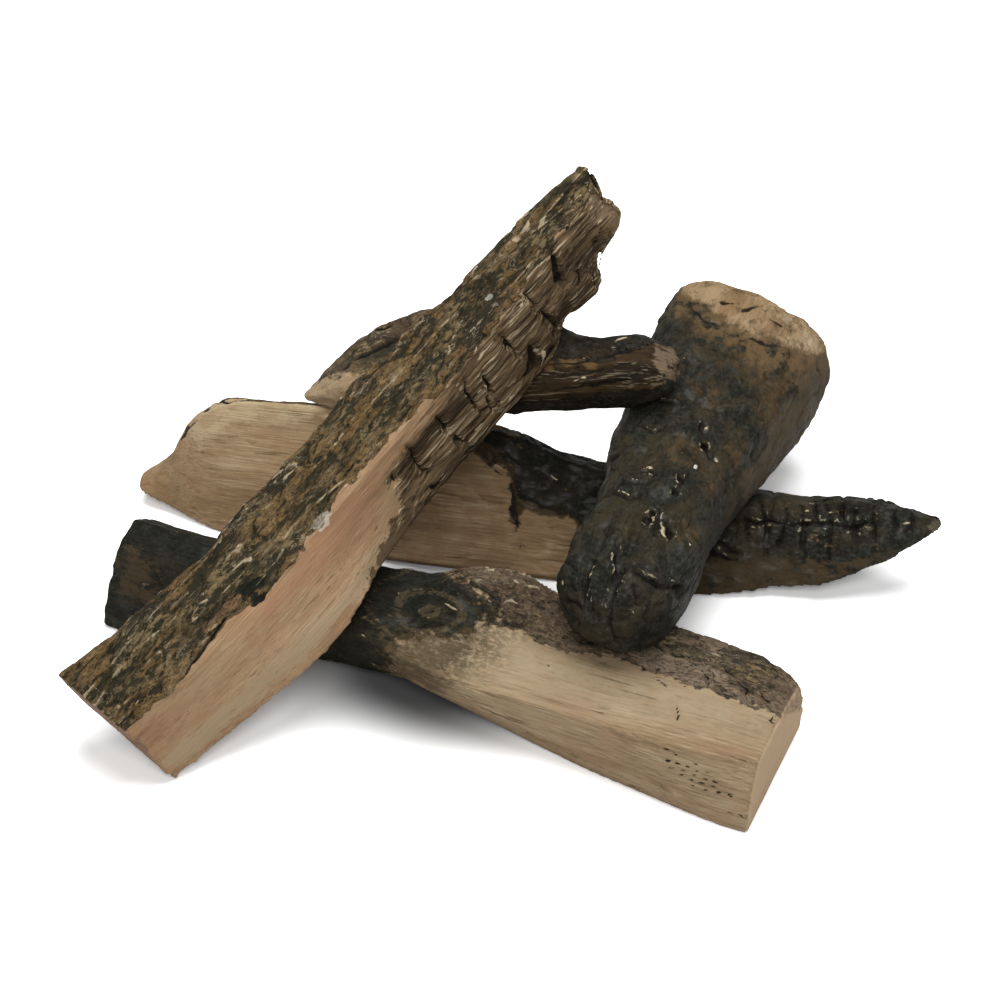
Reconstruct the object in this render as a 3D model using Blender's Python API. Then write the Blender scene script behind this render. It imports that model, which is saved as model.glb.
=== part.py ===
"""Five cast ceramic fire logs, stacked as they lie in a gas fireplace.

Two base logs lie on the floor. A thick charred log crosses them, a short thin log bridges the back
log and the thick one, and a long split log leans over the stack from a foot on the floor.
X runs to the right along the stack, Y runs to the back and Z is up. Each log is lofted through the
corner lines of its section, and each carried log is let down until it touches what carries it.
"""
import math

import bmesh
import bpy
from mathutils import Matrix, Vector, noise
from mathutils.bvhtree import BVHTree

# Sizes of the logs, in metres
FRONT_LENGTH = 0.391
FRONT_DEPTH = 0.092
FRONT_HEIGHT = 0.062
BACK_LENGTH = 0.473
BACK_DEPTH = 0.080
BACK_HEIGHT = 0.075
CROSS_LENGTH = 0.276
CROSS_WIDTH = 0.106
CROSS_HEIGHT = 0.068
SMALL_LENGTH = 0.220
SMALL_WIDTH = 0.052
SMALL_HEIGHT = 0.050
TOP_LENGTH = 0.403
TOP_WIDTH = 0.077
TOP_HEIGHT = 0.060

# Places of the logs, in metres and degrees
BACK_OFFSET = 0.0847
BACK_SHIFT = 0.0050
FRONT_TURN = -24.6
BACK_TURN = -11.5
CROSS_OVERHANG = 0.021
SMALL_OVERHANG = 0.017
TOP_OVERHANG = 0.138
SEAT_GAP = 0.0003
SEARCH_BAND = 0.012
LIFT_START = 0.200
LOWEST_PITCH = -10.0
STEEPEST_PITCH = 40.0

# How many times a search is halved
SEARCH_STEPS = 14

# Rings along each log
FRONT_RINGS = 52
BACK_RINGS = 58
CROSS_RINGS = 48
SMALL_RINGS = 36
TOP_RINGS = 54

# Paint of each log: mean colour of its fired surface, and roughness
FRONT_COLOUR = (0.30, 0.22, 0.15)
BACK_COLOUR = (0.26, 0.18, 0.12)
CROSS_COLOUR = (0.045, 0.042, 0.036)
SMALL_COLOUR = (0.10, 0.07, 0.045)
TOP_COLOUR = (0.22, 0.14, 0.09)
PAINT_ROUGHNESS = 0.80
CHAR_ROUGHNESS = 0.55

# Where each carried log passes over its two carriers, as shares of their lengths
CROSS_ON_FRONT_SHARE = 0.743
CROSS_ON_BACK_SHARE = 0.708
SMALL_ON_BACK_SHARE = 0.25
SMALL_ON_CROSS_SHARE = 0.535
TOP_ON_FRONT_SHARE = 0.384
TOP_ON_BACK_SHARE = 0.538

# Sizes of the cast surface, in metres
SAW_CHAMFER = 0.0016
BARK_RELIEF = 0.0023
BARK_GRAIN = 0.020
SPLIT_RELIEF = 0.0010
SPLIT_GRAIN = 0.018
CHAR_RELIEF = 0.0020
CHAR_GRAIN = 0.016
CRACK_HALF_WIDTH = 0.0014
CRACK_DEPTH = 0.0030
BREAK_ROUGHNESS = 0.0030
BREAK_GRAIN = 0.010
BREAK_REACH_SHARE = 0.14
CAP_SHARE = 0.55
SHARP_ANGLE = 32.0

# The finer noise in the relief: how much finer it is, and its share of the height
FINE_FACTOR = 2.1
FINE_SHARE = 0.5

# Relief rises to its full height over this share of an edge beside a flat underside
FLAT_FADE_SHARE = 0.33

# Grain is this many times longer along a log than across it
GRAIN_STRETCH = {"bark": 2.6, "split": 7.0, "char": 1.3, "flat": 1.0}
RELIEF = {"bark": BARK_RELIEF, "split": SPLIT_RELIEF, "char": CHAR_RELIEF, "flat": 0.0}
GRAIN = {"bark": BARK_GRAIN, "split": SPLIT_GRAIN, "char": CHAR_GRAIN, "flat": BARK_GRAIN}

# Corner lines, each a list of (across, up) shares at the stations of its log. Across is towards the
# viewer's side of a base log and to the right of a log seen from its near end.
FRONT_ALONG_SHARES = (0, 0.17, 0.32, 0.46, 0.51, 0.58, 0.64, 0.76, 0.88, 0.95, 1)
FRONT_CORNER_SHARES = (
    ((0.04, 0), (0.02, 0), (-0.17, 0.10), (-0.22, 0.14), (-0.19, 0.12), (-0.16, 0.08),
     (-0.14, 0.03), (-0.06, 0), (0, 0), (0.03, 0), (0.03, 0)),
    ((-0.09, 0.80), (-0.11, 0.80), (-0.13, 0.74), (-0.06, 0.66), (-0.02, 0.65), (-0.01, 0.61),
     (-0.01, 0.65), (-0.04, 0.65), (-0.01, 0.68), (-0.05, 0.71), (-0.11, 0.71)),
    ((-0.28, 0.98), (-0.30, 0.93), (-0.37, 0.82), (-0.42, 0.82), (-0.46, 0.95), (-0.48, 0.98),
     (-0.43, 0.82), (-0.45, 0.76), (-0.45, 0.76), (-0.45, 0.74), (-0.48, 0.71)),
    ((-0.46, 0.76), (-0.50, 0.76), (-0.57, 0.78), (-0.64, 0.88), (-0.68, 1.00), (-0.74, 1.04),
     (-0.78, 0.88), (-0.83, 0.82), (-0.87, 0.82), (-0.87, 0.75), (-0.84, 0.58)),
    ((-0.52, 0), (-0.61, 0), (-0.70, 0), (-0.76, 0), (-0.79, 0), (-0.84, 0),
     (-0.87, 0), (-0.91, 0), (-0.95, 0), (-0.95, 0), (-0.92, 0)),
)
FRONT_EDGES = (("split", 6, 0.06), ("split", 5, 0.02), ("bark", 5, 0.05), ("bark", 4, 0.10), ("flat", 4, 0))

BACK_ALONG_SHARES = (0, 0.03, 0.05, 0.085, 0.12, 0.17, 0.27, 0.46, 0.56, 0.70, 0.81, 0.89, 0.95, 1)
BACK_CORNER_SHARES = (
    ((-0.24, 0.14), (-0.21, 0.09), (-0.17, 0.06), (-0.10, 0.02), (-0.04, 0), (0, 0), (0.02, 0), (0.02, 0),
     (0, 0), (-0.01, 0), (-0.12, 0.09), (-0.18, 0.20), (-0.30, 0.38), (-0.46, 0.56)),
    ((-0.34, 0.20), (-0.37, 0.32), (-0.42, 0.60), (-0.47, 0.88), (-0.53, 0.94), (-0.56, 0.95),
     (-0.56, 0.96), (-0.56, 0.93), (-0.56, 0.71), (-0.52, 0.63), (-0.50, 0.64), (-0.50, 0.71),
     (-0.50, 0.73), (-0.49, 0.61)),
    ((-0.42, 0.22), (-0.50, 0.34), (-0.56, 0.60), (-0.60, 0.82), (-0.65, 0.89), (-0.67, 0.89),
     (-0.70, 0.90), (-0.71, 0.86), (-0.70, 0.66), (-0.68, 0.59), (-0.65, 0.60), (-0.62, 0.66),
     (-0.60, 0.68), (-0.52, 0.61)),
    ((-0.50, 0.18), (-0.62, 0.22), (-0.70, 0.30), (-0.82, 0.40), (-0.92, 0.47), (-0.98, 0.51), (-1, 0.51),
     (-1, 0.48), (-0.95, 0.40), (-0.90, 0.37), (-0.82, 0.38), (-0.75, 0.48), (-0.67, 0.58), (-0.55, 0.58)),
    ((-0.44, 0.12), (-0.56, 0.08), (-0.64, 0.06), (-0.77, 0.03), (-0.86, 0), (-0.92, 0), (-0.95, 0),
     (-0.95, 0), (-0.90, 0), (-0.85, 0), (-0.75, 0.09), (-0.67, 0.22), (-0.60, 0.41), (-0.53, 0.56)),
)
BACK_EDGES = (("split", 8, 0.05), ("bark", 2, 0), ("bark", 4, 0.04), ("bark", 4, 0.08), ("flat", 4, 0))

CROSS_ALONG_SHARES = (0, 0.05, 0.11, 0.20, 0.31, 0.43, 0.58, 0.75, 0.88, 0.96, 1)
CROSS_CORNER_SHARES = (
    ((0.09, 0.12), (0.21, 0.06), (0.25, 0.03), (0.26, 0), (0.22, 0), (0.24, 0),
     (0.29, 0), (0.36, 0), (0.40, 0), (0.37, 0.03), (0.32, 0.10)),
    ((0.09, 0.44), (0.23, 0.59), (0.26, 0.65), (0.29, 0.68), (0.26, 0.68), (0.26, 0.68),
     (0.30, 0.68), (0.34, 0.68), (0.38, 0.68), (0.39, 0.67), (0.36, 0.62)),
    ((-0.04, 0.53), (-0.02, 0.74), (-0.02, 0.79), (-0.04, 0.81), (-0.06, 0.82), (-0.08, 0.85),
     (-0.10, 0.90), (-0.14, 0.96), (-0.17, 1), (-0.19, 1), (-0.20, 0.96)),
    ((-0.13, 0.44), (-0.24, 0.60), (-0.25, 0.66), (-0.26, 0.68), (-0.30, 0.66), (-0.34, 0.68),
     (-0.39, 0.80), (-0.46, 0.86), (-0.50, 0.90), (-0.48, 0.92), (-0.44, 0.90)),
    ((-0.11, 0.20), (-0.20, 0.18), (-0.24, 0.13), (-0.27, 0.07), (-0.31, 0.04), (-0.32, 0.03),
     (-0.35, 0.03), (-0.41, 0.04), (-0.43, 0.07), (-0.41, 0.09), (-0.34, 0.15)),
)
CROSS_EDGES = (("char", 6, 0.10), ("char", 8, 0.08), ("char", 6, 0.10), ("char", 6, 0.14), ("flat", 5, 0.02))

SMALL_ALONG_SHARES = (0, 0.07, 0.14, 0.23, 0.34, 0.47, 0.60, 0.75, 0.91, 1)
SMALL_CORNER_SHARES = (
    ((0.08, 0.08), (0.15, 0.04), (0.19, 0.02), (0.22, 0), (0.20, 0), (0.17, 0), (0.14, 0),
     (0.11, 0.02), (0.09, 0.06), (0.04, 0.20)),
    ((0.04, 0.14), (0.12, 0.26), (0.15, 0.40), (0.15, 0.48), (0.13, 0.60), (0.14, 0.64), (0.16, 0.56),
     (0.18, 0.48), (0.18, 0.52), (0.08, 0.46)),
    ((-0.25, 0.12), (-0.36, 0.38), (-0.42, 0.62), (-0.42, 0.86), (-0.42, 1.02), (-0.42, 1.16), (-0.42, 1.04),
     (-0.42, 0.66), (-0.42, 0.66), (-0.30, 0.54)),
    ((-0.36, 0.09), (-0.55, 0.28), (-0.65, 0.46), (-0.70, 0.60), (-0.70, 0.76), (-0.70, 0.88), (-0.69, 0.78),
     (-0.68, 0.48), (-0.66, 0.52), (-0.48, 0.44)),
    ((-0.25, 0.06), (-0.45, 0.06), (-0.52, 0.05), (-0.56, 0.03), (-0.56, 0.02), (-0.56, 0), (-0.56, 0),
     (-0.55, 0.02), (-0.50, 0.08), (-0.34, 0.22)),
)
SMALL_EDGES = (("split", 4, 0.12), ("bark", 4, 0.06), ("bark", 3, 0.08), ("bark", 3, 0.06),
               ("flat", 3, 0.02))

TOP_ALONG_SHARES = (0, 0.07, 0.15, 0.26, 0.34, 0.40, 0.53, 0.63, 0.72, 0.80, 0.89, 0.95, 1)
TOP_CORNER_SHARES = (
    ((0, 0), (0.06, 0.02), (0.16, 0.06), (0.30, 0.14), (0.27, 0.16), (0.15, 0.11), (-0.01, -0.04),
     (-0.02, -0.07), (-0.03, -0.07), (-0.10, -0.04), (-0.17, -0.01), (-0.15, 0.05), (-0.25, 0.14)),
    ((-0.18, 0.80), (-0.10, 0.80), (-0.06, 0.80), (-0.04, 0.80), (-0.09, 0.80), (-0.09, 0.80), (-0.12, 0.80),
     (-0.14, 0.80), (-0.16, 0.80), (-0.12, 0.80), (-0.17, 0.80), (-0.23, 0.80), (-0.30, 0.78)),
    ((-0.78, 1), (-0.70, 1), (-0.64, 1), (-0.54, 1), (-0.56, 1), (-0.58, 1), (-0.59, 1),
     (-0.54, 1), (-0.52, 1), (-0.49, 1), (-0.47, 1), (-0.45, 1), (-0.42, 1)),
    ((-0.92, 0.65), (-0.84, 0.60), (-0.76, 0.55), (-0.66, 0.50), (-0.65, 0.50), (-0.66, 0.50), (-0.66, 0.50),
     (-0.61, 0.50), (-0.60, 0.52), (-0.59, 0.54), (-0.57, 0.58), (-0.55, 0.62), (-0.52, 0.66)),
)
TOP_EDGES = (("split", 7, 0.04), ("bark", 8, 0.05), ("bark", 4, 0.06), ("split", 6, 0.05))

# Knots, knuckles and notches, each the share along, the place round, and the reach and height as
# shares of the log's height. The notches are less than zero high.
FRONT_LUMP_SHARES = ((0.55, 3.2, 0.32, 0.06), (0.51, 2.3, 0.25, 0.06))
CROSS_LUMP_SHARES = ((0.06, 4.2, 0.30, 0.08), (0.05, 1.2, 0.30, 0.08), (0.16, 3.4, 0.25, 0.06),
                     (0.04, 3.1, 0.24, 0.07), (0.02, 2.1, 0.18, 0.05), (0.34, 1.5, 0.22, 0.04),
                     (0.48, 3.2, 0.28, 0.08), (0.62, 2.6, 0.22, 0.04), (0.24, 1.4, 0.20, 0.03),
                     (0.40, 2.3, 0.20, -0.03), (0.56, 1.4, 0.22, -0.03), (0.72, 2.2, 0.22, 0.03))
TOP_LUMP_SHARES = ((0.980, 0.55, 0.24, 0.20), (0.955, 0.25, 0.20, -0.15), (0.915, 0.10, 0.22, 0.07),
                   (0.84, 0.10, 0.16, -0.08), (0.79, 0.05, 0.18, 0.06), (0.88, 2.0, 0.20, 0.03),
                   (0.30, 2.2, 0.25, 0.05), (0.66, 2.1, 0.22, 0.05), (0.20, 1.4, 0.20, 0.04),
                   (0.355, 1.1, 0.14, -0.06), (0.44, 1.6, 0.20, -0.04), (0.56, 1.5, 0.20, 0.04))

# Creases along a log, each the place round, the first and last share along, and the depth as a
# share of the log's height
CROSS_CREASE_SHARES = ((1.125, 0, 0.10, 0.04), (1.875, 0, 0.16, 0.07), (2.5, 0, 0.13, 0.06),
                       (3.5, 0, 0.20, 0.05))
CREASE_HALF_PLACE_SHARE = 0.10
CREASE_FADE_SHARE = 0.06

# How far the slanted left end of the front log stands back at places round it
FRONT_SLANT_SHARES = ((0, 0), (1, 0.015), (2, 0.022), (3, 0.022), (4, 0.010), (5, 0))

# Deep checks, each the share along, how far it slants along, the first and last place round, and
# the share of the crack depth
BACK_CRACK_SHARES = ((0.735, 0, 0.5, 3, 0.7), (0.76, 0, 0.4, 3, 0.9), (0.80, 0, 0.3, 3, 1),
                     (0.845, 0, 0.4, 3, 0.8), (0.885, 0, 0.3, 3, 1), (0.925, 0, 0.4, 3, 0.8))
CROSS_CRACK_SHARES = ((0.085, -0.05, 0.8, 1.7, 1), (0.22, 0.04, 1.2, 2.1, 0.7), (0.47, 0, 1.2, 1.7, 0.8))
TOP_CRACK_SHARES = ((0.485, 0, 0.4, 0.8, 0.6), (0.527, 0, 0.4, 0.9, 0.8), (0.594, -0.02, 0, 0.8, 1),
                    (0.645, 0, 0.3, 0.95, 1), (0.677, 0, 0.1, 0.7, 1), (0.740, -0.025, 0.1, 0.95, 1),
                    (0.800, -0.025, 0.1, 1.2, 1.3), (0.862, 0.02, 0.4, 1.2, 1))
CRACK_LEAN_SHARE = 0.03

# How far the broken end of the top log stands back at places round it, as shares of its length
TOP_BREAK_SHARES = ((0, 0.045), (0.15, 0.025), (0.30, 0.028), (0.45, 0.030), (0.60, 0), (0.80, 0.020),
                    (1, 0.010), (1.5, 0), (2, 0.010), (3, 0.035), (3.5, 0.060), (4, 0.045))


def clear_scene():
    """Remove every object that the scene starts with."""
    for thing in list(bpy.data.objects):
        bpy.data.objects.remove(thing, do_unlink=True)


def finish_material(name, colour, roughness):
    """Painted ceramic of one colour."""
    material = bpy.data.materials.new(name)
    material.use_nodes = True
    shader = material.node_tree.nodes["Principled BSDF"]
    shader.inputs["Base Color"].default_value = (*colour, 1.0)
    shader.inputs["Roughness"].default_value = roughness
    shader.inputs["Metallic"].default_value = 0.0
    return material


def through(stations, values, at):
    """Value at a share of the length, on a smooth curve through the values at the stations."""
    last = len(stations) - 1
    index = 0
    while index < last - 1 and at > stations[index + 1]:
        index += 1

    def slope(i):
        low, high = max(i - 1, 0), min(i + 1, last)
        return (values[high] - values[low]) / (stations[high] - stations[low])

    span = stations[index + 1] - stations[index]
    t = (at - stations[index]) / span
    square, cube = t * t, t * t * t
    return ((2 * cube - 3 * square + 1) * values[index] + (cube - 2 * square + t) * span * slope(index)
            + (3 * square - 2 * cube) * values[index + 1] + (cube - square) * span * slope(index + 1))


class Log:
    """One cast log: its sizes, its corner lines, and what was pressed or broken into it."""

    def __init__(self, name, length, width, height, along, corners, edges, rings):
        self.name = name
        self.thing = None
        self.length = length
        self.width = width
        self.height = height
        self.along = along
        self.corners = corners
        self.edges = edges
        self.rings = rings
        self.cracks = ()
        self.creases = ()
        self.lumps = ()
        self.near_end = ()
        self.far_end = ()
        self.sawn_near = False
        self.sawn_far = False
        self.lies_flat = False

    def corner(self, index, at):
        """Place of a corner in the plane of a section, at a share of the length."""
        line = self.corners[index]
        across = through(self.along, [point[0] for point in line], at) * self.width
        up = through(self.along, [point[1] for point in line], at) * self.height
        return Vector((0.0, -across, up))

    def surface(self, at, place):
        """Point of the plain loft: place 1.5 is halfway along the edge that starts at corner 1."""
        index = int(place) % len(self.edges)
        t = place - int(place)
        start = self.corner(index, at)
        end = self.corner((index + 1) % len(self.edges), at)
        side = end - start
        outward = Vector((0.0, -side.z, side.y))
        bulge = self.edges[index][2]
        point = start + side * t + outward * (4.0 * t * (1.0 - t) * bulge)
        point.x = self.length * (at + self.end_setback(at, place))
        return point

    def lean(self, at, place):
        """How far along a ring leans at a place round it, so that the crack on it runs aslant."""
        total = 0.0
        for centre, slant, first, last, _ in self.cracks:
            round_away = (place - 0.5 * (first + last)) / (last - first)
            along_away = (at - centre) / CRACK_LEAN_SHARE
            total += slant * round_away * math.exp(-round_away * round_away - along_away * along_away)
        return total

    def end_setback(self, at, place):
        """How far a broken end stands back at a place round the section, as a share of the length."""
        near = between(self.near_end, place) * max(0.0, 1.0 - at / BREAK_REACH_SHARE)
        far = between(self.far_end, place) * max(0.0, 1.0 - (1.0 - at) / BREAK_REACH_SHARE)
        return near - far

    def places(self):
        """Places round the section, as many on each edge as the edge has steps."""
        return [index + step / edge[1] for index, edge in enumerate(self.edges) for step in range(edge[1])]

    def stations(self):
        """Shares of the length where the loft has rings, with three rings at each crack."""
        half = CRACK_HALF_WIDTH / self.length
        special = []
        for crack in self.cracks:
            special += [crack[0] - half, crack[0], crack[0] + half]
        if self.sawn_near:
            special.append(SAW_CHAMFER / self.length)
        if self.sawn_far:
            special.append(1.0 - SAW_CHAMFER / self.length)
        even = [ring / self.rings for ring in range(1, self.rings)]
        clear = [at for at in even if all(abs(at - other) > 1.2 * half for other in special)]
        return sorted([0.0, 1.0] + special + clear)


def between(pairs, place):
    """Value at a place round the section, straight between (place, value) pairs."""
    if not pairs:
        return 0.0
    for (low, start), (high, end) in zip(pairs, pairs[1:]):
        if low <= place <= high:
            return start + (end - start) * (place - low) / (high - low)
    return pairs[-1][1]


def relief(log, point, place, seed):
    """Height of the cast bark, grain or char over the plain loft."""
    count = len(log.edges)
    index = int(place) % count
    t = place - int(place)
    finish = log.edges[index][0]
    grain = GRAIN[finish]
    spot = Vector((point.x / (grain * GRAIN_STRETCH[finish]), point.y / grain, point.z / grain + seed))
    height = noise.noise(spot) + FINE_SHARE * noise.noise(spot * FINE_FACTOR)
    flat_before = log.edges[index - 1][0] == "flat"
    flat_after = log.edges[(index + 1) % count][0] == "flat"
    weight = 1.0
    if flat_before:
        weight = min(weight, t / FLAT_FADE_SHARE)
    if flat_after:
        weight = min(weight, (1.0 - t) / FLAT_FADE_SHARE)
    return RELIEF[finish] * weight * height


def pressed(log, at, place, point):
    """Sum of the knots and knuckles that stand out, and of the creases and cracks that cut in."""
    height = 0.0
    for centre_place, first, last, depth_share in log.creases:
        away = (place - centre_place) / CREASE_HALF_PLACE_SHARE
        fade = min(1.0, max(0.0, min(at - first, last - at) / CREASE_FADE_SHARE + 1.0))
        height -= depth_share * log.height * fade * math.exp(-away * away)
    for centre_at, centre_place, reach_share, height_share in log.lumps:
        away = (point - log.surface(centre_at, centre_place)).length / (reach_share * log.height)
        height += height_share * log.height * math.exp(-away * away)
    for centre_at, _, first, last, depth in log.cracks:
        if abs(at - centre_at) < 0.5 * CRACK_HALF_WIDTH / log.length and first <= place <= last:
            height -= depth * CRACK_DEPTH
    return height


def log_ring(log, at, seed):
    """One ring of finished points round the log."""
    places = log.places()
    plain = [log.surface(at + log.lean(at, place), place) for place in places]
    middle = sum(plain, Vector()) / len(plain)
    chamfered = (log.sawn_near and at == 0.0) or (log.sawn_far and at == 1.0)
    points = []
    for index, (place, point) in enumerate(zip(places, plain)):
        along_ring = plain[(index + 1) % len(plain)] - plain[index - 1]
        outward = Vector((0.0, -along_ring.z, along_ring.y)).normalized()
        height = relief(log, point, place, seed) + pressed(log, at, place, point)
        finished = point + outward * height
        if chamfered:
            inward = middle - finished
            inward.x = 0.0
            finished += inward.normalized() * SAW_CHAMFER
        if log.lies_flat:
            finished.z = max(finished.z, 0.0)
        points.append(finished)
    return points


def end_rings(ring, seed, direction, sawn):
    """The inner ring and the middle point that close an end, level if sawn and rough if broken."""
    middle = sum(ring, Vector()) / len(ring)
    inner = []
    for point in ring:
        spot = middle + (point - middle) * CAP_SHARE
        if not sawn:
            rough = noise.noise(spot / BREAK_GRAIN + Vector((0.0, 0.0, seed)))
            spot.x += direction * BREAK_ROUGHNESS * (1.0 + rough)
        inner.append(spot)
    if not sawn:
        middle.x += direction * BREAK_ROUGHNESS
    return inner, middle


def loft(log, seed):
    """Closed mesh of a log in its own frame: X along it, Z up, the near end at the origin."""
    mesh = bpy.data.meshes.new(log.name)
    build = bmesh.new()
    rings = [log_ring(log, at, seed) for at in log.stations()]
    near_inner, near_middle = end_rings(rings[0], seed, -1.0, log.sawn_near)
    far_inner, far_middle = end_rings(rings[-1], seed, 1.0, log.sawn_far)
    rings = [near_inner] + rings + [far_inner]
    rows = [[build.verts.new(point) for point in ring] for ring in rings]
    sides = len(rows[0])
    for row, after in zip(rows, rows[1:]):
        for side in range(sides):
            beside = (side + 1) % sides
            build.faces.new((row[side], after[side], after[beside], row[beside]))
    near_vertex = build.verts.new(near_middle)
    far_vertex = build.verts.new(far_middle)
    for side in range(sides):
        beside = (side + 1) % sides
        build.faces.new((rows[0][side], rows[0][beside], near_vertex))
        build.faces.new((rows[-1][beside], rows[-1][side], far_vertex))
    bmesh.ops.triangulate(build, faces=build.faces[:])
    build.to_mesh(mesh)
    build.free()
    mesh.shade_smooth()
    mesh.set_sharp_from_angle(angle=math.radians(SHARP_ANGLE))
    return mesh


def front_log():
    """Split log with a sawn right end, a slanted left end and a knot in the middle."""
    log = Log("front_log", FRONT_LENGTH, FRONT_DEPTH, FRONT_HEIGHT,
              FRONT_ALONG_SHARES, FRONT_CORNER_SHARES, FRONT_EDGES, FRONT_RINGS)
    log.sawn_near = True
    log.sawn_far = True
    log.lies_flat = True
    log.lumps = FRONT_LUMP_SHARES
    log.near_end = FRONT_SLANT_SHARES
    return log


def back_log():
    """Longest log, with a broken spike at the left and a charred taper at the right."""
    log = Log("back_log", BACK_LENGTH, BACK_DEPTH, BACK_HEIGHT,
              BACK_ALONG_SHARES, BACK_CORNER_SHARES, BACK_EDGES, BACK_RINGS)
    log.lies_flat = True
    log.cracks = BACK_CRACK_SHARES
    return log


def cross_log():
    """Thick charred log with a knuckled foot and a sawn far end."""
    log = Log("cross_log", CROSS_LENGTH, CROSS_WIDTH, CROSS_HEIGHT,
              CROSS_ALONG_SHARES, CROSS_CORNER_SHARES, CROSS_EDGES, CROSS_RINGS)
    log.sawn_far = True
    log.lumps = CROSS_LUMP_SHARES
    log.creases = CROSS_CREASE_SHARES
    log.cracks = CROSS_CRACK_SHARES
    return log


def small_log():
    """Short thin log, thickest in the middle."""
    return Log("small_log", SMALL_LENGTH, SMALL_WIDTH, SMALL_HEIGHT,
               SMALL_ALONG_SHARES, SMALL_CORNER_SHARES, SMALL_EDGES, SMALL_RINGS)


def top_log():
    """Long split log with a sawn foot, checks across its split face and a jagged broken end."""
    log = Log("top_log", TOP_LENGTH, TOP_WIDTH, TOP_HEIGHT,
              TOP_ALONG_SHARES, TOP_CORNER_SHARES, TOP_EDGES, TOP_RINGS)
    log.sawn_near = True
    log.far_end = TOP_BREAK_SHARES
    log.lumps = TOP_LUMP_SHARES
    log.cracks = TOP_CRACK_SHARES
    return log


def cast(log, seed, colour, roughness):
    """Add a log to the scene and remember its object."""
    mesh = loft(log, seed)
    mesh.materials.append(finish_material(log.name + "_paint", colour, roughness))
    log.thing = bpy.data.objects.new(log.name, mesh)
    bpy.context.scene.collection.objects.link(log.thing)
    return log


def mould(log, at, place_round):
    """Point of a placed log's plain surface in the plan, at a share along it and a place round it."""
    point = log.thing.matrix_world @ log.surface(at, place_round)
    return Vector((point.x, point.y, 0.0))


def stand(thing, location, yaw, pitch=0.0):
    """Put an object's near corner at a place, turned about Z and tipped up at its far end."""
    turn = Matrix.Rotation(yaw, 4, "Z") @ Matrix.Rotation(-pitch, 4, "Y")
    thing.rotation_euler = turn.to_euler()
    thing.location = location
    bpy.context.view_layer.update()


def triangles(thing, keep=None):
    """World points of an object and the triangles that keep accepts, judged by their local centre."""
    points = [thing.matrix_world @ vertex.co for vertex in thing.data.vertices]
    faces = [tuple(face.vertices) for face in thing.data.polygons if keep is None or keep(face.center)]
    return points, faces


def free_drop(thing, keep, carriers, on_floor):
    """How far the kept faces can sink straight down before they touch a carrier or the floor."""
    points, faces = triangles(thing, keep)
    used = {index for face in faces for index in face}
    drop = min(points[index].z for index in used) if on_floor else math.inf
    mover = BVHTree.FromPolygons(points, faces, all_triangles=True)
    down = Vector((0.0, 0.0, -1.0))
    for carrier in carriers:
        carrier_points, carrier_faces = triangles(carrier)
        tree = BVHTree.FromPolygons(carrier_points, carrier_faces, all_triangles=True)
        above = [tree.ray_cast(points[index], down)[3] for index in used]
        below = [mover.ray_cast(point, -down)[3] for point in carrier_points]
        reached = [distance for distance in above + below if distance is not None]
        if not reached:
            continue
        low, high = min(reached) - SEARCH_BAND, min(reached)
        for _ in range(SEARCH_STEPS):
            middle = 0.5 * (low + high)
            lowered = [point + down * middle for point in points]
            if BVHTree.FromPolygons(lowered, faces, all_triangles=True).overlap(tree):
                high = middle
            else:
                low = middle
        drop = min(drop, low)
    return drop


def let_down(log, near_point, far_point, overhang, near_carriers, far_carriers, on_floor=False):
    """Lay a log over two points of the plan and let it down until both its halves are carried."""
    course = far_point - near_point
    yaw = math.atan2(course.y, course.x)
    start = near_point - course.normalized() * overhang
    start.z = LIFT_START
    middle = overhang + 0.5 * course.length
    level, steep = math.radians(LOWEST_PITCH), math.radians(STEEPEST_PITCH)
    for _ in range(SEARCH_STEPS):
        pitch = 0.5 * (level + steep)
        stand(log.thing, start, yaw, pitch)
        near = free_drop(log.thing, lambda centre: centre.x < middle, near_carriers, on_floor)
        far = free_drop(log.thing, lambda centre: centre.x >= middle, far_carriers, False)
        if far > near:
            steep = pitch
        else:
            level = pitch
    log.thing.location.z -= min(near, far) - SEAT_GAP
    bpy.context.view_layer.update()


def centre_on_floor(things):
    """Move the stack so that the middle of its base box is at the origin."""
    corners = [thing.matrix_world @ vertex.co for thing in things for vertex in thing.data.vertices]
    low = Vector([min(point[axis] for point in corners) for axis in range(3)])
    high = Vector([max(point[axis] for point in corners) for axis in range(3)])
    shift = Vector((-(low.x + high.x) / 2.0, -(low.y + high.y) / 2.0, -low.z))
    for thing in things:
        thing.location += shift
    bpy.context.view_layer.update()


def build_stack():
    """Cast the five logs and stack them."""
    clear_scene()
    front = cast(front_log(), 1.0, FRONT_COLOUR, PAINT_ROUGHNESS)
    back = cast(back_log(), 2.0, BACK_COLOUR, PAINT_ROUGHNESS)
    cross = cast(cross_log(), 3.0, CROSS_COLOUR, CHAR_ROUGHNESS)
    small = cast(small_log(), 4.0, SMALL_COLOUR, PAINT_ROUGHNESS)
    top = cast(top_log(), 5.0, TOP_COLOUR, PAINT_ROUGHNESS)
    stand(front.thing, Vector((0.0, 0.0, 0.0)), math.radians(FRONT_TURN))
    stand(back.thing, Vector((BACK_SHIFT, BACK_OFFSET, 0.0)), math.radians(BACK_TURN))
    let_down(cross, mould(front, CROSS_ON_FRONT_SHARE, 2.5), mould(back, CROSS_ON_BACK_SHARE, 1),
             CROSS_OVERHANG, [front.thing], [back.thing])
    let_down(small, mould(back, SMALL_ON_BACK_SHARE, 1.5), mould(cross, SMALL_ON_CROSS_SHARE, 3),
             SMALL_OVERHANG, [back.thing], [cross.thing])
    let_down(top, mould(front, TOP_ON_FRONT_SHARE, 2), mould(back, TOP_ON_BACK_SHARE, 1),
             TOP_OVERHANG, [front.thing], [back.thing, small.thing], on_floor=True)
    centre_on_floor([log.thing for log in (front, back, cross, small, top)])


build_stack()
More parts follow.
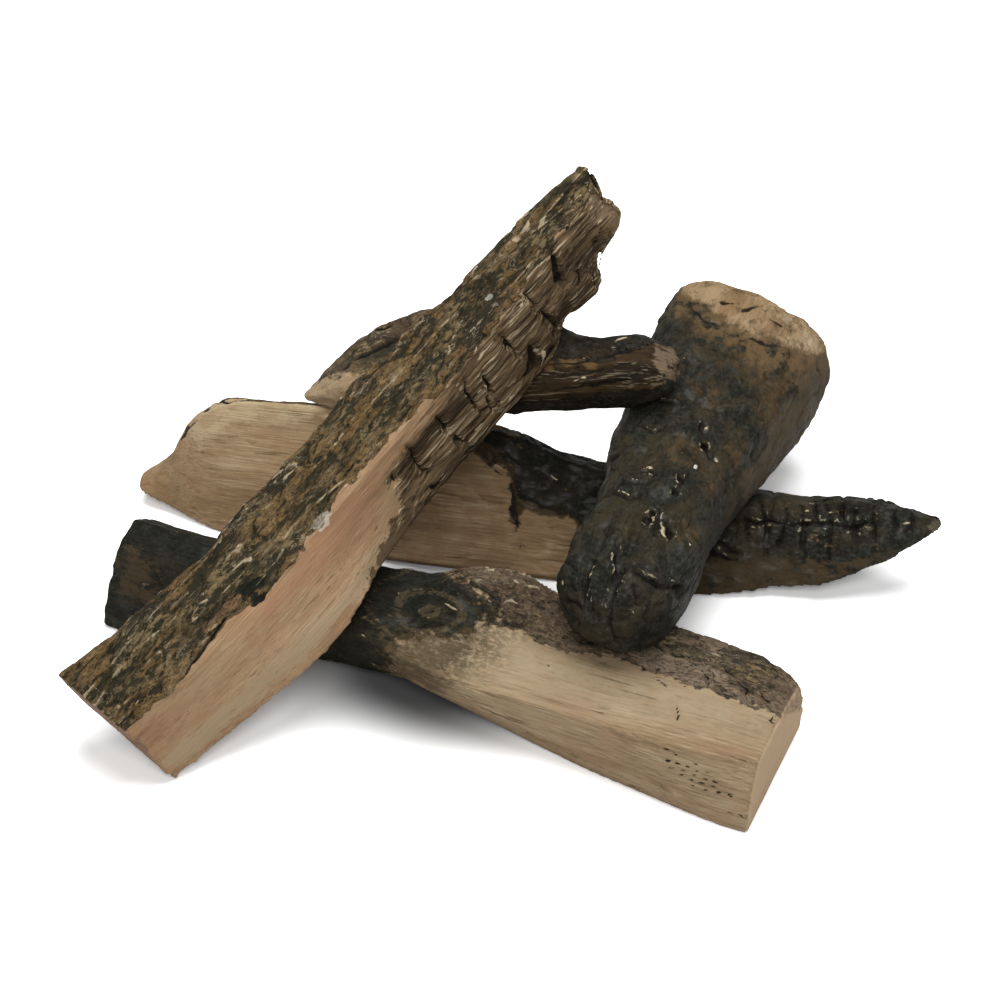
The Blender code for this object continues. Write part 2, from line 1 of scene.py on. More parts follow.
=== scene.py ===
"""Five cast ceramic fire logs, painted as charred and split wood, stacked on a pale floor.

The logs' plain castings come from the frame. Each section below takes one log, gives its skin the
bark, grain, checks and char that the mould pressed into it, and then paints it.
Places on a log are marked in pixels of a 1000 by 1000 picture taken by this scene's camera. A line
or an outline there is a row of numbers: across and down at its first point, then at the next.
"""
import math

import bpy
import numpy as np
from mathutils import Matrix, Vector


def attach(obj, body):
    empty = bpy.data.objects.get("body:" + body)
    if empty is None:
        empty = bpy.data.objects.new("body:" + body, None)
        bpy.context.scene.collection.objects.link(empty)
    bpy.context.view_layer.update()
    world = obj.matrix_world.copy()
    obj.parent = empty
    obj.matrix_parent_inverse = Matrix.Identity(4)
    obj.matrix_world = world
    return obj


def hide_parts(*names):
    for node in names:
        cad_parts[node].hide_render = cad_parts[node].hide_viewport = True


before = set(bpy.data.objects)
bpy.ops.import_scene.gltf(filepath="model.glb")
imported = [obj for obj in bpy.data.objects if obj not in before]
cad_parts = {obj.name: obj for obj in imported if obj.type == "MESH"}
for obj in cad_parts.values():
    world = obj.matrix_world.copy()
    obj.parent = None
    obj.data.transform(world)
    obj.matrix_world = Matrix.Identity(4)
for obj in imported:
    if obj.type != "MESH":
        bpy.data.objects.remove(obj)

scene = bpy.context.scene
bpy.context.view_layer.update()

# Camera: a long lens from the front, looking down on the stack by a good third of a right angle.
# The picture is square, so one length in it stands for both sides.
PICTURE = 1000
LENS = 85.0
SENSOR = 36.0
VIEW_DOWN = math.radians(40.0)
VIEW_DISTANCE = 1.348
VIEW_TARGET = Vector((-0.0091, 0.0248, 0.0600))
VIEW_ROLL = math.radians(-0.3)

look = Vector((0.0, math.cos(VIEW_DOWN), -math.sin(VIEW_DOWN)))
eye = VIEW_TARGET - look * VIEW_DISTANCE
focal = LENS / SENSOR * PICTURE
level_right = Vector((1.0, 0.0, 0.0))
level_down = look.cross(level_right)
picture_right = level_right * math.cos(VIEW_ROLL) - level_down * math.sin(VIEW_ROLL)
picture_down = level_right * math.sin(VIEW_ROLL) + level_down * math.cos(VIEW_ROLL)

camera_data = bpy.data.cameras.new("camera")
camera_data.lens = LENS
camera_data.sensor_width = SENSOR
camera = bpy.data.objects.new("camera", camera_data)
scene.collection.objects.link(camera)
camera.location = eye
camera.rotation_euler = Matrix((picture_right, -picture_down, -look)).transposed().to_euler()
scene.camera = camera


def to_picture(points):
    """Pixels at which the camera sees an array of points."""
    away = points - np.array(eye)
    depth = away @ np.array(look)
    across = away @ np.array(picture_right) / depth
    down = away @ np.array(picture_down) / depth
    return np.stack([across, down], axis=1) * focal + PICTURE / 2


# Floor and light: a pale floor in soft studio light from above, with the logs' shadows on it. To the
# camera the floor is brighter than it is, and it turns white with distance, as the room behind it is.
# A painted shadow darkens the floor in the hollow under and between the two logs.
FLOOR_SIZE = 8.0
FLOOR_GREY = 0.80
FLOOR_SEEN = 1.25
FLOOR_LIFT = 0.05
FLOOR_NEAR = 0.7
FLOOR_FAR = 1.3
PAINTED_SHADOW_AT = (-0.045, -0.034, 0.0)
PAINTED_SHADOW_NEAR = 0.042
PAINTED_SHADOW_FAR = 0.110
PAINTED_SHADOW_DEPTH = 0.92
ROOM_GREY = 0.26
WHITE = (1.0, 1.0, 1.0)
LAMPS = (
    ("top_lamp", Vector((0.05, 0.26, 1.70)), 1.4, 36.0),
    ("front_lamp", Vector((0.0, -1.60, 1.80)), 1.1, 25.0),
)


class Sum:
    """A shader value that can be added, subtracted and multiplied."""

    def __init__(self, tree, socket):
        self.tree = tree
        self.socket = socket

    def _math(self, operation, first, second=None):
        node = self.tree.nodes.new("ShaderNodeMath")
        node.operation = operation
        for slot, value in enumerate((first, second)):
            if isinstance(value, Sum):
                self.tree.links.new(value.socket, node.inputs[slot])
            elif value is not None:
                node.inputs[slot].default_value = value
        return Sum(self.tree, node.outputs[0])

    def __add__(self, other):
        return self._math("ADD", self, other)

    def __radd__(self, other):
        return self._math("ADD", other, self)

    def __sub__(self, other):
        return self._math("SUBTRACT", self, other)

    def __rsub__(self, other):
        return self._math("SUBTRACT", other, self)

    def __mul__(self, other):
        return self._math("MULTIPLY", self, other)

    def larger(self, other):
        return self._math("MAXIMUM", self, other)

    def step(self, low, high):
        """0 below low, 1 above high, and a smooth rise between them."""
        node = self.tree.nodes.new("ShaderNodeMapRange")
        node.interpolation_type = "SMOOTHSTEP"
        self.tree.links.new(self.socket, node.inputs["Value"])
        node.inputs["From Min"].default_value = low
        node.inputs["From Max"].default_value = high
        return Sum(self.tree, node.outputs["Result"])

    def above(self, edge, soft):
        """0 below the edge, 1 above it, with a soft step that reaches this far to both sides."""
        return self.step(edge - soft, edge + soft)

    def below(self, edge, soft):
        """1 below the edge, 0 above it, with the same soft step."""
        return 1.0 - self.above(edge, soft)

    def near(self, value, width):
        """1 at a value, falling to 0 this far from it."""
        gap = self - value
        return 1.0 - gap._math("ABSOLUTE", gap).step(0.0, width)


class Paint:
    """The node tree of one material."""

    def __init__(self, name):
        self.material = bpy.data.materials.new(name)
        self.material.use_nodes = True
        self.tree = self.material.node_tree
        self.shader = self.tree.nodes["Principled BSDF"]
        self.output = self.tree.nodes["Material Output"]

    def add(self, kind, settings=None, inputs=None):
        """Add a node, give it its settings, then its values or links."""
        node = self.tree.nodes.new(kind)
        for key, value in (settings or {}).items():
            setattr(node, key, value)
        for key, value in (inputs or {}).items():
            self.feed(node.inputs[key], value)
        return node

    def feed(self, socket, value):
        """Link a socket, or set it."""
        if isinstance(value, Sum):
            self.tree.links.new(value.socket, socket)
        elif isinstance(value, bpy.types.NodeSocket):
            self.tree.links.new(value, socket)
        elif isinstance(value, tuple) and len(value) == 3 and socket.type == "RGBA":
            socket.default_value = (*value, 1.0)
        else:
            socket.default_value = value

    def value(self, name):
        """A value painted on the skin of the piece."""
        node = self.add("ShaderNodeAttribute", {"attribute_name": name})
        return Sum(self.tree, node.outputs["Fac"])

    def noise(self, along, across, detail, rough, shift, distort=0.0):
        """Noise from 0 to 1 in the log's own frame, with so many cells per metre along and across it."""
        grain = self.add("ShaderNodeAttribute", {"attribute_name": "grain"}).outputs["Vector"]
        place = self.add("ShaderNodeMapping", {}, {
            "Vector": grain, "Scale": (along, across, across),
            "Location": (shift, shift * 0.7, shift * 0.3)}).outputs["Vector"]
        node = self.add("ShaderNodeTexNoise", {}, {
            "Vector": place, "Scale": 1.0, "Detail": detail, "Roughness": rough, "Distortion": distort})
        return Sum(self.tree, node.outputs["Fac"])

    def worn(self, name, noise, reach, edge=0.5, soft=0.06):
        """A painted mark whose border a noise tears, more where the reach is greater."""
        value = self.value(name)
        return (value + (noise - 0.5) * reach).above(edge, soft) * value.above(0.14, 0.12)

    def mix(self, first, second, share):
        """Colour between two, by a share."""
        node = self.add("ShaderNodeMix", {"data_type": "RGBA", "clamp_factor": True})
        self.feed(node.inputs["Factor"], share)
        self.feed(node.inputs[6], first)
        self.feed(node.inputs[7], second)
        return node.outputs[2]

    def coats(self, colour, *coats):
        """A colour under coats, each a tint and its share."""
        for tint, share in coats:
            colour = self.mix(colour, tint, share)
        return colour


floor_paint = Paint("floor_paint")
seen = floor_paint.add("ShaderNodeLightPath")
diffuse = floor_paint.add("ShaderNodeBsdfDiffuse")
glow = floor_paint.add("ShaderNodeEmission")
to_camera = Sum(floor_paint.tree, seen.outputs["Is Camera Ray"])
place = floor_paint.add("ShaderNodeTexCoord").outputs["Object"]
away = floor_paint.add("ShaderNodeVectorMath", {"operation": "LENGTH"}, {0: place})
far = Sum(floor_paint.tree, away.outputs["Value"]).step(FLOOR_NEAR, FLOOR_FAR)
# Painted shadow: the floor's colour and glow darken towards a point under the front log.
hollow = floor_paint.add("ShaderNodeVectorMath", {"operation": "DISTANCE"}, {0: place, 1: PAINTED_SHADOW_AT})
open_floor = Sum(floor_paint.tree, hollow.outputs["Value"]).step(PAINTED_SHADOW_NEAR, PAINTED_SHADOW_FAR)
lit = (1.0 - PAINTED_SHADOW_DEPTH) + open_floor * PAINTED_SHADOW_DEPTH
floor_paint.feed(diffuse.inputs["Color"], (FLOOR_GREY + to_camera * (FLOOR_SEEN - FLOOR_GREY)) * lit)
floor_paint.feed(glow.inputs["Color"], floor_paint.mix((FLOOR_LIFT,) * 3, WHITE, far))
floor_paint.feed(glow.inputs["Strength"], to_camera * lit)
both = floor_paint.add("ShaderNodeAddShader", {}, {0: diffuse.outputs[0], 1: glow.outputs[0]})
floor_paint.feed(floor_paint.output.inputs["Surface"], both.outputs[0])
floor_paint.tree.nodes.remove(floor_paint.shader)

bpy.ops.object.select_all(action="DESELECT")
bpy.ops.mesh.primitive_plane_add(size=FLOOR_SIZE, location=(0.0, 0.0, 0.0))
floor = bpy.context.object
floor.name = "floor"
floor.data.materials.append(floor_paint.material)

world = bpy.data.worlds.new("studio")
scene.world = world
world.use_nodes = True
room = world.node_tree
room_light = Sum(room, room.nodes.new("ShaderNodeLightPath").outputs["Is Camera Ray"])
room_light = ROOM_GREY + room_light * (1.0 - ROOM_GREY)
room.links.new(room_light.socket, room.nodes["Background"].inputs["Strength"])
room.nodes["Background"].inputs["Color"].default_value = (*WHITE, 1.0)

for lamp_name, place, size, power in LAMPS:
    lamp_data = bpy.data.lights.new(lamp_name, "AREA")
    lamp_data.shape = "DISK"
    lamp_data.size = size
    lamp_data.energy = power
    lamp = bpy.data.objects.new(lamp_name, lamp_data)
    scene.collection.objects.link(lamp)
    lamp.location = place
    lamp.rotation_euler = (VIEW_TARGET - place).to_track_quat("-Z", "Y").to_euler()

scene.view_settings.view_transform = "Standard"


# Front log: one solid casting that lies on the floor. The mould gave it a split face towards the
# camera, a strip of bark behind that, a burnt left end with a knot beside it, and a sawn right end.
# The fired clay is painted by hand: tan wood, grey-mauve bark and near-black char.
WELD = 0.00001
SKIN_FACE = 0.00115
SKIN_ROUNDS = 4
FLOOR_MARGIN = 0.004
PROUD_ROUNDS = 12
PROUD_HEIGHT = 0.0005
MIXERS = (73856093, 19349663, 83492791)
SEED_MIXER = 7919
LAST_MIXER = 1274126177
LONG_WORD = 0xFFFFFFFF
SHORT_WORD = 0xFFFF
OCTAVE_SHIFT = 17.3
FACING_EASE = 0.25
CRISP_BORDER = 6.0
WANDER = 2.2
WANDER_CELLS = 130.0
BUMP_DEPTH = 0.0022
COAT_ROUGHNESS = 0.30
SPECULAR = 0.10
CRACK_COLOUR = (0.008, 0.006, 0.004)
CREAM = (0.47, 0.39, 0.26)
GOLD = (0.34, 0.245, 0.120)


def ease(value):
    """Smooth step from 0 to 1, held at its ends."""
    held = np.clip(value, 0.0, 1.0)
    return held * held * (3.0 - 2.0 * held)


def lattice(points, seed):
    """Smooth random values between -1 and 1, one cell to a unit of length."""
    cell = np.floor(points).astype(np.int64)
    part = points - cell
    part = part * part * (3.0 - 2.0 * part)
    total = np.zeros(len(points))
    for corner in np.ndindex(2, 2, 2):
        at = cell + corner
        mixed = at[:, 0] * MIXERS[0] ^ at[:, 1] * MIXERS[1] ^ at[:, 2] * MIXERS[2] ^ (seed * SEED_MIXER)
        mixed = (mixed ^ (mixed >> 13)) * LAST_MIXER & LONG_WORD
        mixed = (mixed ^ (mixed >> 16)) & SHORT_WORD
        weight = np.prod(np.where(corner, part, 1.0 - part), axis=1)
        total += weight * (mixed / (SHORT_WORD / 2.0) - 1.0)
    return total


class Casting:
    """The skin of one log while it is pressed and painted."""

    def __init__(self, node, name):
        bpy.ops.object.select_all(action="DESELECT")
        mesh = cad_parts[node].data.copy()
        mesh.materials.clear()
        self.node = node
        self.piece = bpy.data.objects.new(name, mesh)
        scene.collection.objects.link(self.piece)
        self.piece.select_set(True)
        bpy.context.view_layer.objects.active = self.piece
        bpy.ops.object.mode_set(mode="EDIT")
        bpy.ops.mesh.select_all(action="SELECT")
        bpy.ops.mesh.remove_doubles(threshold=WELD)
        bpy.ops.object.mode_set(mode="OBJECT")
        self.find_axes()
        level = Matrix(self.axes.tolist()).to_4x4()
        mesh.transform(level)
        skin = self.piece.modifiers.new("skin", "REMESH")
        skin.mode = "VOXEL"
        skin.voxel_size = SKIN_FACE
        skin.use_smooth_shade = True
        bpy.ops.object.modifier_apply(modifier="skin")
        eased = self.piece.modifiers.new("eased", "SMOOTH")
        eased.iterations = SKIN_ROUNDS
        bpy.ops.object.modifier_apply(modifier="eased")
        self.piece.data.transform(level.inverted())
        self.measure()

    def find_axes(self):
        """The log's own axes: along it, across it and up."""
        corners = np.array([vertex.co for vertex in self.piece.data.vertices])
        spread = np.linalg.eigh(np.cov(corners.T))[1]
        along = spread[:, 2] * (1.0 if spread[0, 2] > 0.0 else -1.0)
        side = np.cross((0.0, 0.0, 1.0), along)
        side /= np.linalg.norm(side)
        self.axes = np.stack([along, side, np.cross(along, side)])

    def measure(self):
        """Read the skin's points, and find the log's own frame and its place in the picture."""
        mesh = self.piece.data
        count = len(mesh.vertices)
        self.points = np.empty(count * 3)
        mesh.vertices.foreach_get("co", self.points)
        self.points = self.points.reshape(-1, 3)
        self.out = np.empty(count * 3, np.float32)
        mesh.vertex_normals.foreach_get("vector", self.out)
        self.out = self.out.reshape(-1, 3).astype(float)
        edges = np.empty(len(mesh.edges) * 2, np.int32)
        mesh.edges.foreach_get("vertices", edges)
        self.edges = edges.reshape(-1, 2)
        self.local = (self.points - self.points.mean(axis=0)) @ self.axes.T
        self.local[:, 0] -= self.local[:, 0].min()
        self.share = self.local[:, 0] / self.local[:, 0].max()
        self.pixels = to_picture(self.points)
        self.facing = ease(-(self.out @ np.array(look)) / FACING_EASE)
        cells = self.points * WANDER_CELLS
        strays = [lattice(cells, seed) + 0.6 * lattice(2.6 * cells, seed + 1) for seed in (1, 3)]
        self.stray = WANDER * np.stack(strays, axis=1)
        self.vary = 1.0 + 0.55 * lattice(0.8 * cells, 5)
        self.broken = ease(0.55 + 2.0 * lattice(1.4 * cells, 6))
        self.height = np.zeros(count)
        self.marks = {"crack": np.zeros(count), "cream": np.zeros(count)}

    def mark(self, name, values):
        """Add values to a mark where they are larger."""
        self.marks[name] = np.maximum(self.marks[name], values)

    def towards(self, axis, low, high):
        """0 where the skin turns away from an axis, 1 where it faces along it."""
        return ease((self.out @ axis - low) / (high - low))

    def ripple(self, along, across, octaves, seed):
        """Layered noise between about -1 and 1, with so many cells per metre along and across the log."""
        cells = self.local * np.array((along, across, across))
        total = np.zeros(len(self.points))
        for octave in range(octaves):
            finer = 2.0 ** octave
            total += lattice(cells * finer + OCTAVE_SHIFT * octave, seed + octave) / finer
        return total

    def fissure(self, along, across, octaves, seed, width):
        """1 along thin branching lines, 0 away from them."""
        return ease(1.0 - np.abs(self.ripple(along, across, octaves, seed)) / width)

    def flakes(self, along, across, octaves, seed, layers):
        """Level layers with sharp edges, between about -1 and 1, as bark flakes off."""
        raised = self.ripple(along, across, octaves, seed) * layers
        base = np.floor(raised)
        return (base + ease((raised - base - 0.35) / 0.3)) / layers

    def away_from(self, place, start, end):
        """Distance of places in the picture from a run between two points, share along it, and side."""
        run = end - start
        away = place - start
        held = np.clip(away @ run / (run @ run), 0.0, 1.0)
        turn = run[0] * away[:, 1] - run[1] * away[:, 0]
        return np.hypot(*(away - held[:, None] * run).T), held, turn

    def patch(self, outline, soft):
        """1 inside an outline drawn in the picture, 0 outside, with a border this many pixels wide.

        The outline strays less where its border is crisp.
        """
        corners = np.array(outline, float).reshape(-1, 2)
        drawn = self.pixels + min(1.0, soft / CRISP_BORDER) * 1.6 * self.stray
        across, down = drawn.T
        inside = np.zeros(len(self.pixels), bool)
        nearest = np.full(len(self.pixels), np.inf)
        for start, end in zip(corners, np.roll(corners, -1, axis=0)):
            nearest = np.minimum(nearest, self.away_from(drawn, start, end)[0])
            if end[1] != start[1]:
                at = start[0] + (down - start[1]) / (end[1] - start[1]) * (end[0] - start[0])
                inside ^= ((start[1] > down) != (end[1] > down)) & (across < at)
        return ease(np.where(inside, nearest, -nearest) / soft + 0.5)

    def spots(self, places, soft=0.5):
        """1 on round spots drawn in the picture, each a pixel and a radius."""
        total = np.zeros(len(self.pixels))
        for across, down, radius in places:
            away = np.hypot(self.pixels[:, 0] - across, self.pixels[:, 1] - down)
            total = np.maximum(total, ease((radius * (1.0 + soft) - away) / (2.0 * soft * radius)))
        return total * self.facing

    def trace(self, line):
        """Distance from a line in the picture, which side of it a point is on, and the line's taper."""
        corners = np.array(line, float).reshape(-1, 2)
        runs = np.hypot(*np.diff(corners, axis=0).T)
        starts = np.concatenate([[0.0], np.cumsum(runs)])
        drawn = self.pixels + self.stray
        nearest = np.full(len(drawn), np.inf)
        at = np.zeros(len(drawn))
        side = np.zeros(len(drawn))
        for index, (start, end) in enumerate(zip(corners, corners[1:])):
            gap, held, turn = self.away_from(drawn, start, end)
            closer = gap < nearest
            nearest[closer] = gap[closer]
            at[closer] = starts[index] + held[closer] * runs[index]
            side[closer] = np.sign(turn[closer])
        taper = np.sqrt(np.clip(np.sin(np.pi * (0.05 + 0.90 * at / starts[-1])), 0.0, 1.0))
        return nearest, side, taper * self.facing

    def groove(self, line, width, depth, lip=0.0, side=0, ink=1.0):
        """Cut a groove, its width in pixels, with a raised cream lip on the right (1) or left (-1)."""
        away, turn, full = self.trace(line)
        away = away / self.vary
        core = np.exp(-(away / width) ** 2) * full
        edge = np.exp(-((away - 1.6 * width) / (0.6 * width)) ** 2) * full
        if side:
            edge = edge * (turn == side)
            self.height -= lip * np.exp(-away / (5.0 * width)) * full * (turn == -side)
        self.height += lip * edge - depth * core
        self.mark("crack", core * ink)
        if lip > 0.0:
            self.mark("cream", edge * self.broken)

    def grooves(self, lines, width, depth, ink=1.0):
        """Cut plain grooves of one kind."""
        for line in lines:
            self.groove(line, width, depth, ink=ink)

    def lick(self, lines, width, rise=0.0004):
        """Raise thin ridges along lines in the picture, which the painter's dry brush caught."""
        for line in lines:
            away, _, full = self.trace(line)
            ridge = np.exp(-(away / (width * self.vary)) ** 2) * full * self.broken
            self.height += rise * ridge
            self.mark("cream", ridge)

    def swell(self, line, width, rise):
        """Raise the skin softly along a line in the picture."""
        away, _, full = self.trace(line)
        self.height += rise * np.exp(-(away / width) ** 2) * full

    def keep(self, patches, **others):
        """Keep marks for the paint: patches, each a border and an outline, and others made before."""
        for name, (soft, outline) in patches.items():
            self.marks[name] = self.patch(outline, soft)
        self.marks.update(others)

    def blur(self, values, rounds):
        """Values spread evenly to their neighbours on the skin."""
        first, second = self.edges.T
        count = len(values)
        touching = np.bincount(first, minlength=count) + np.bincount(second, minlength=count)
        for _ in range(rounds):
            beside = np.bincount(first, values[second], count) + np.bincount(second, values[first], count)
            values = 0.5 * values + 0.5 * beside / touching
        return values

    def press(self):
        """Move the skin by its relief, and keep what stands out and what lies deep for the paint."""
        on_floor = self.points[:, 2].min() < FLOOR_MARGIN
        if on_floor:
            self.height *= ease(self.points[:, 2] / FLOOR_MARGIN)
        moved = self.points + self.out * self.height[:, None]
        if on_floor:
            moved[:, 2] = np.maximum(moved[:, 2], self.points[:, 2].min())
        mesh = self.piece.data
        mesh.vertices.foreach_set("co", moved.astype(np.float32).ravel())
        mesh.update()
        self.marks["proud"] = (self.height - self.blur(self.height, PROUD_ROUNDS)) / PROUD_HEIGHT
        for name, values in self.marks.items():
            layer = mesh.attributes.new(name, "FLOAT", "POINT")
            layer.data.foreach_set("value", values.astype(np.float32))
        layer = mesh.attributes.new("grain", "FLOAT_VECTOR", "POINT")
        layer.data.foreach_set("vector", self.local.astype(np.float32).ravel())

    def dress(self, paint, body):
        """Give the piece its paint and let it stand for its log."""
        self.piece.data.materials.append(paint.material)
        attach(self.piece, body)
        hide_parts(self.node)


def darker(colour, share):
    """A colour dimmed to a share of itself."""
    return tuple(share * part for part in colour)


def split_wood(paint, pale, deep, tint, seed, fibre_share):
    """Bare split wood: soft drifts of colour and fibres along the log. Gives colour and height."""
    drift = paint.noise(9, 62, 6, 0.6, seed, 0.2)
    cloud = paint.noise(34, 64, 6, 0.65, seed + 5.7)
    fibre = paint.noise(26, 720, 6, 0.65, seed + 2.1)
    thread = paint.noise(16, 420, 5, 0.6, seed + 8.3)
    where = paint.noise(24, 50, 3, 0.6, seed + 3.1)
    speck = paint.noise(420, 640, 2, 0.6, seed + 9.9)
    line = (thread * 0.7 + where * 0.3).above(0.62, 0.025)
    colour = paint.coats(
        deep, (pale, drift.above(0.5, 0.15)), (tint, cloud.above(0.54, 0.10) * 0.65),
        (darker(deep, 0.55), fibre.below(0.44, 0.08) * (0.65 * fibre_share)),
        (CREAM, (fibre * 0.7 + where * 0.3).above(0.58, 0.03) * (0.45 * fibre_share)),
        (darker(deep, 0.35), line * (0.65 * fibre_share)),
        (darker(deep, 0.30), speck.above(0.74, 0.02) * 0.6))
    return colour, (fibre * 0.7 + cloud * 0.35 - line * 0.35) * fibre_share


def bark(paint, ground, blotch, warm, seed, cover, tints=(), scorch=0.0):
    """Painted bark: dark in its hollows, warm on its ridges, with cream on the flakes' edges.

    The blotch takes the cover's share of it, the tints are coats on the ground, and scorch brings
    more of the blotch. Gives colour and height.
    """
    tone = paint.noise(40, 90, 6, 0.65, seed)
    dense = paint.noise(24, 74, 6, 0.62, seed + 3.9)
    dab = paint.noise(170, 400, 7, 0.72, seed + 2.3, 0.4)
    speck = paint.noise(600, 1100, 3, 0.6, seed + 6.1)
    flake = paint.noise(64, 200, 5, 0.58, seed + 4.9, 1.0)
    where = paint.noise(40, 60, 3, 0.55, seed + 7.7)
    proud = paint.value("proud")
    dark = (dab * 0.34 + dense * 0.56 - proud * 0.040 + scorch).above(0.45 + 0.2 * (0.5 - cover), 0.016)
    dark = dark.larger(speck.above(0.60, 0.04) * 0.8)
    gold = (dense * 0.5 + tone * 0.5).above(0.54, 0.05) * dab.above(0.50, 0.05)
    rim = flake.near(0.50, 0.024) * where.above(0.53, 0.03) * dab.above(0.46, 0.05)
    crest = (proud * 0.22 + speck * 0.6 + where * 0.5).above(0.81, 0.05)
    colour = paint.coats(
        ground, (warm, tone.above(0.51, 0.12)), *tints, (darker(ground, 0.45), dab.below(0.49, 0.06) * 0.6),
        (blotch, dark * 0.93), (GOLD, gold * 0.5), (CREAM, rim.larger(crest) * 0.7))
    return colour, dab * 0.9 + speck * 0.35 + flake.above(0.5, 0.03) * 0.6 - dark * 0.25


def char(paint, black, grey, brown, seed):
    """Burnt wood: black with a grey bloom and brown shadows. Gives colour, height and gloss."""
    lump = paint.noise(110, 150, 6, 0.62, seed)
    pore = paint.noise(420, 560, 4, 0.65, seed + 3.3)
    rust = paint.noise(60, 90, 7, 0.68, seed + 5.2)
    drift = paint.noise(24, 36, 3, 0.5, seed + 6.6)
    proud = paint.value("proud")
    colour = paint.coats(
        black, (grey, (lump * 0.4 + pore * 0.6).above(0.51, 0.09)),
        (brown, (rust * 0.6 + drift * 0.4).above(0.53, 0.10) * 0.7),
        (darker(black, 0.4), proud.below(-0.8, 0.8) * 0.8),
        (CREAM, (proud * 0.20 + pore).above(0.80, 0.03) * 0.5))
    return colour, lump * 0.9 + pore * 0.5, lump.above(0.52, 0.06)


def finish_paint(paint, colour, height, roughness, gloss, tear, streak):
    """Darken the cracks, brush the raised edges with cream and close the material."""
    colour = paint.coats(
        colour, (CREAM, (paint.value("cream") * 0.9 + streak).above(1.24, 0.06) * 0.8),
        (CRACK_COLOUR, (paint.value("crack") + tear * 0.8).above(0.98, 0.16) * 0.95))
    bump = paint.add("ShaderNodeBump", {}, {"Strength": 1.0, "Distance": BUMP_DEPTH, "Height": height})
    values = {
        "Base Color": colour, "Roughness": roughness, "Normal": bump.outputs["Normal"],
        "Coat Weight": gloss, "Coat Roughness": COAT_ROUGHNESS, "Specular IOR Level": SPECULAR}
    for name, value in values.items():
        paint.feed(paint.shader.inputs[name], value)


FRONT_PALE = (0.325, 0.246, 0.150)
FRONT_DEEP = (0.235, 0.160, 0.090)
FRONT_PINK = (0.28, 0.180, 0.108)
FRONT_CREAM = (0.31, 0.245, 0.155)
FRONT_END = (0.50, 0.360, 0.225)
FRONT_MAUVE = (0.235, 0.177, 0.128)
FRONT_BARK = (0.180, 0.130, 0.084)
FRONT_WARM = (0.17, 0.115, 0.075)
FRONT_KNOT = (0.150, 0.104, 0.068)
FRONT_SOOT_AND_SHADOW = (0.060, 0.042, 0.022)
FRONT_BARK_SOOT_AND_SHADOW = (0.040, 0.028, 0.016)
FRONT_BROWN = (0.065, 0.043, 0.020)
FRONT_OLIVE = (0.070, 0.050, 0.022)
FRONT_FOLD = (0.110, 0.082, 0.042)
BLOTCH = (0.026, 0.024, 0.017)
FRONT_CHAR = ((0.0065, 0.0068, 0.0045), (0.018, 0.0185, 0.013), (0.024, 0.019, 0.010))

# Lines and outlines drawn in the picture. Patches are given by their border and their outline.
FRONT_CHAR_OUTLINE = (
    60,480, 260,500, 430,560, 470,585, 497,606, 499,626, 480,622, 468,638, 455,640, 436,632, 405,640,
    392,655, 398,668, 380,672, 340,668, 330,672, 60,700)
FRONT_BARK_OUTLINE = (
    430,540, 500,560, 640,590, 830,640, 830,700, 790,712, 772,710, 752,706, 722,695, 700,686, 682,682,
    650,670, 622,656, 600,655, 580,650, 555,650, 535,642, 518,631, 500,627, 497,606, 470,585)
FRONT_PATCHES = {
    "olive": (50, (
        382,634, 400,640, 430,632, 456,641, 474,632, 470,648, 452,662, 436,684, 405,674, 394,658, 385,650)),
    # Soot, with painted shadow below the cross log's foot.
    "soot_and_shadow": (50, (
        400,540, 520,556, 590,590, 640,640, 600,652, 545,640, 510,640, 500,660, 440,690, 390,690, 330,690)),
    "brown": (36, (120,556, 132,546, 148,566, 160,590, 150,598, 116,596)),
    "knot": (20, (497,568, 560,585, 566,606, 560,628, 540,634, 520,630, 500,626, 494,600)),
    "mauve": (14, (630,645, 690,655, 745,690, 760,706, 752,708, 700,690, 645,674)),
    "band": (44, (
        452,640, 520,630, 560,650, 650,672, 722,697, 772,712, 768,735, 700,726, 600,700, 520,682, 440,668))}
KNOT_AT = (432, 612)
KNOT_REACH = 62.0
KNOT_FLATNESS = 1.7
KNOT_FOLD = 4.5
FRONT_DASHES = (
    (661, 750, 700, 765, 4), (663, 758, 712, 776, 5), (666, 766, 722, 786, 5), (676, 775, 729, 793, 5),
    (690, 786, 734, 800, 4), (724, 812, 746, 819, 2))
FRONT_CRACKS = (
    (678,703, 676,710, 678,716, 676,723), (774,706, 777,714, 770,719, 777,724, 771,728), (547,664, 549,668),
    (605,660, 607,664), (588,642, 600,638, 612,634), (641,664, 647,668), (655,676, 662,682, 668,690),
    (700,672, 708,678, 706,686), (722,664, 728,672, 738,676), (684,684, 690,688),
    (652,660, 660,664, 656,670), (740,684, 748,690, 745,698), (758,686, 765,694, 772,702),
    (668,652, 676,656, 690,656), (715,652, 722,650))
FRONT_LOW_CRACKS = (
    (505,727, 525,733, 545,745), (545,745, 562,750, 580,760, 598,768), (608,775, 625,783, 650,795),
    (478,706, 492,714))
FRONT_RIDGES = (
    (440,672, 475,690, 520,706, 560,720), (560,712, 600,722, 640,736, 690,752),
    (505,712, 520,718, 540,732, 575,746, 610,764), (600,700, 650,716, 700,733),
    (470,676, 520,694, 560,704, 620,712), (556,734, 600,752, 650,772, 700,792, 745,812),
    (520,676, 570,686, 620,698), (660,730, 700,744, 760,762), (620,728, 650,740, 700,756))
FRONT_SWIRLS = (
    (394,606, 410,592, 436,588, 462,594, 476,606), (402,622, 424,612, 448,614, 466,622),
    (396,632, 420,624, 446,626, 462,632), (470,590, 482,604, 480,616, 470,626), (484,588, 494,602, 494,618),
    (440,572, 456,576, 470,584), (470,580, 495,592, 505,604), (498,618, 512,626, 530,626),
    (528,598, 545,612, 560,618), (500,572, 524,582, 548,592))
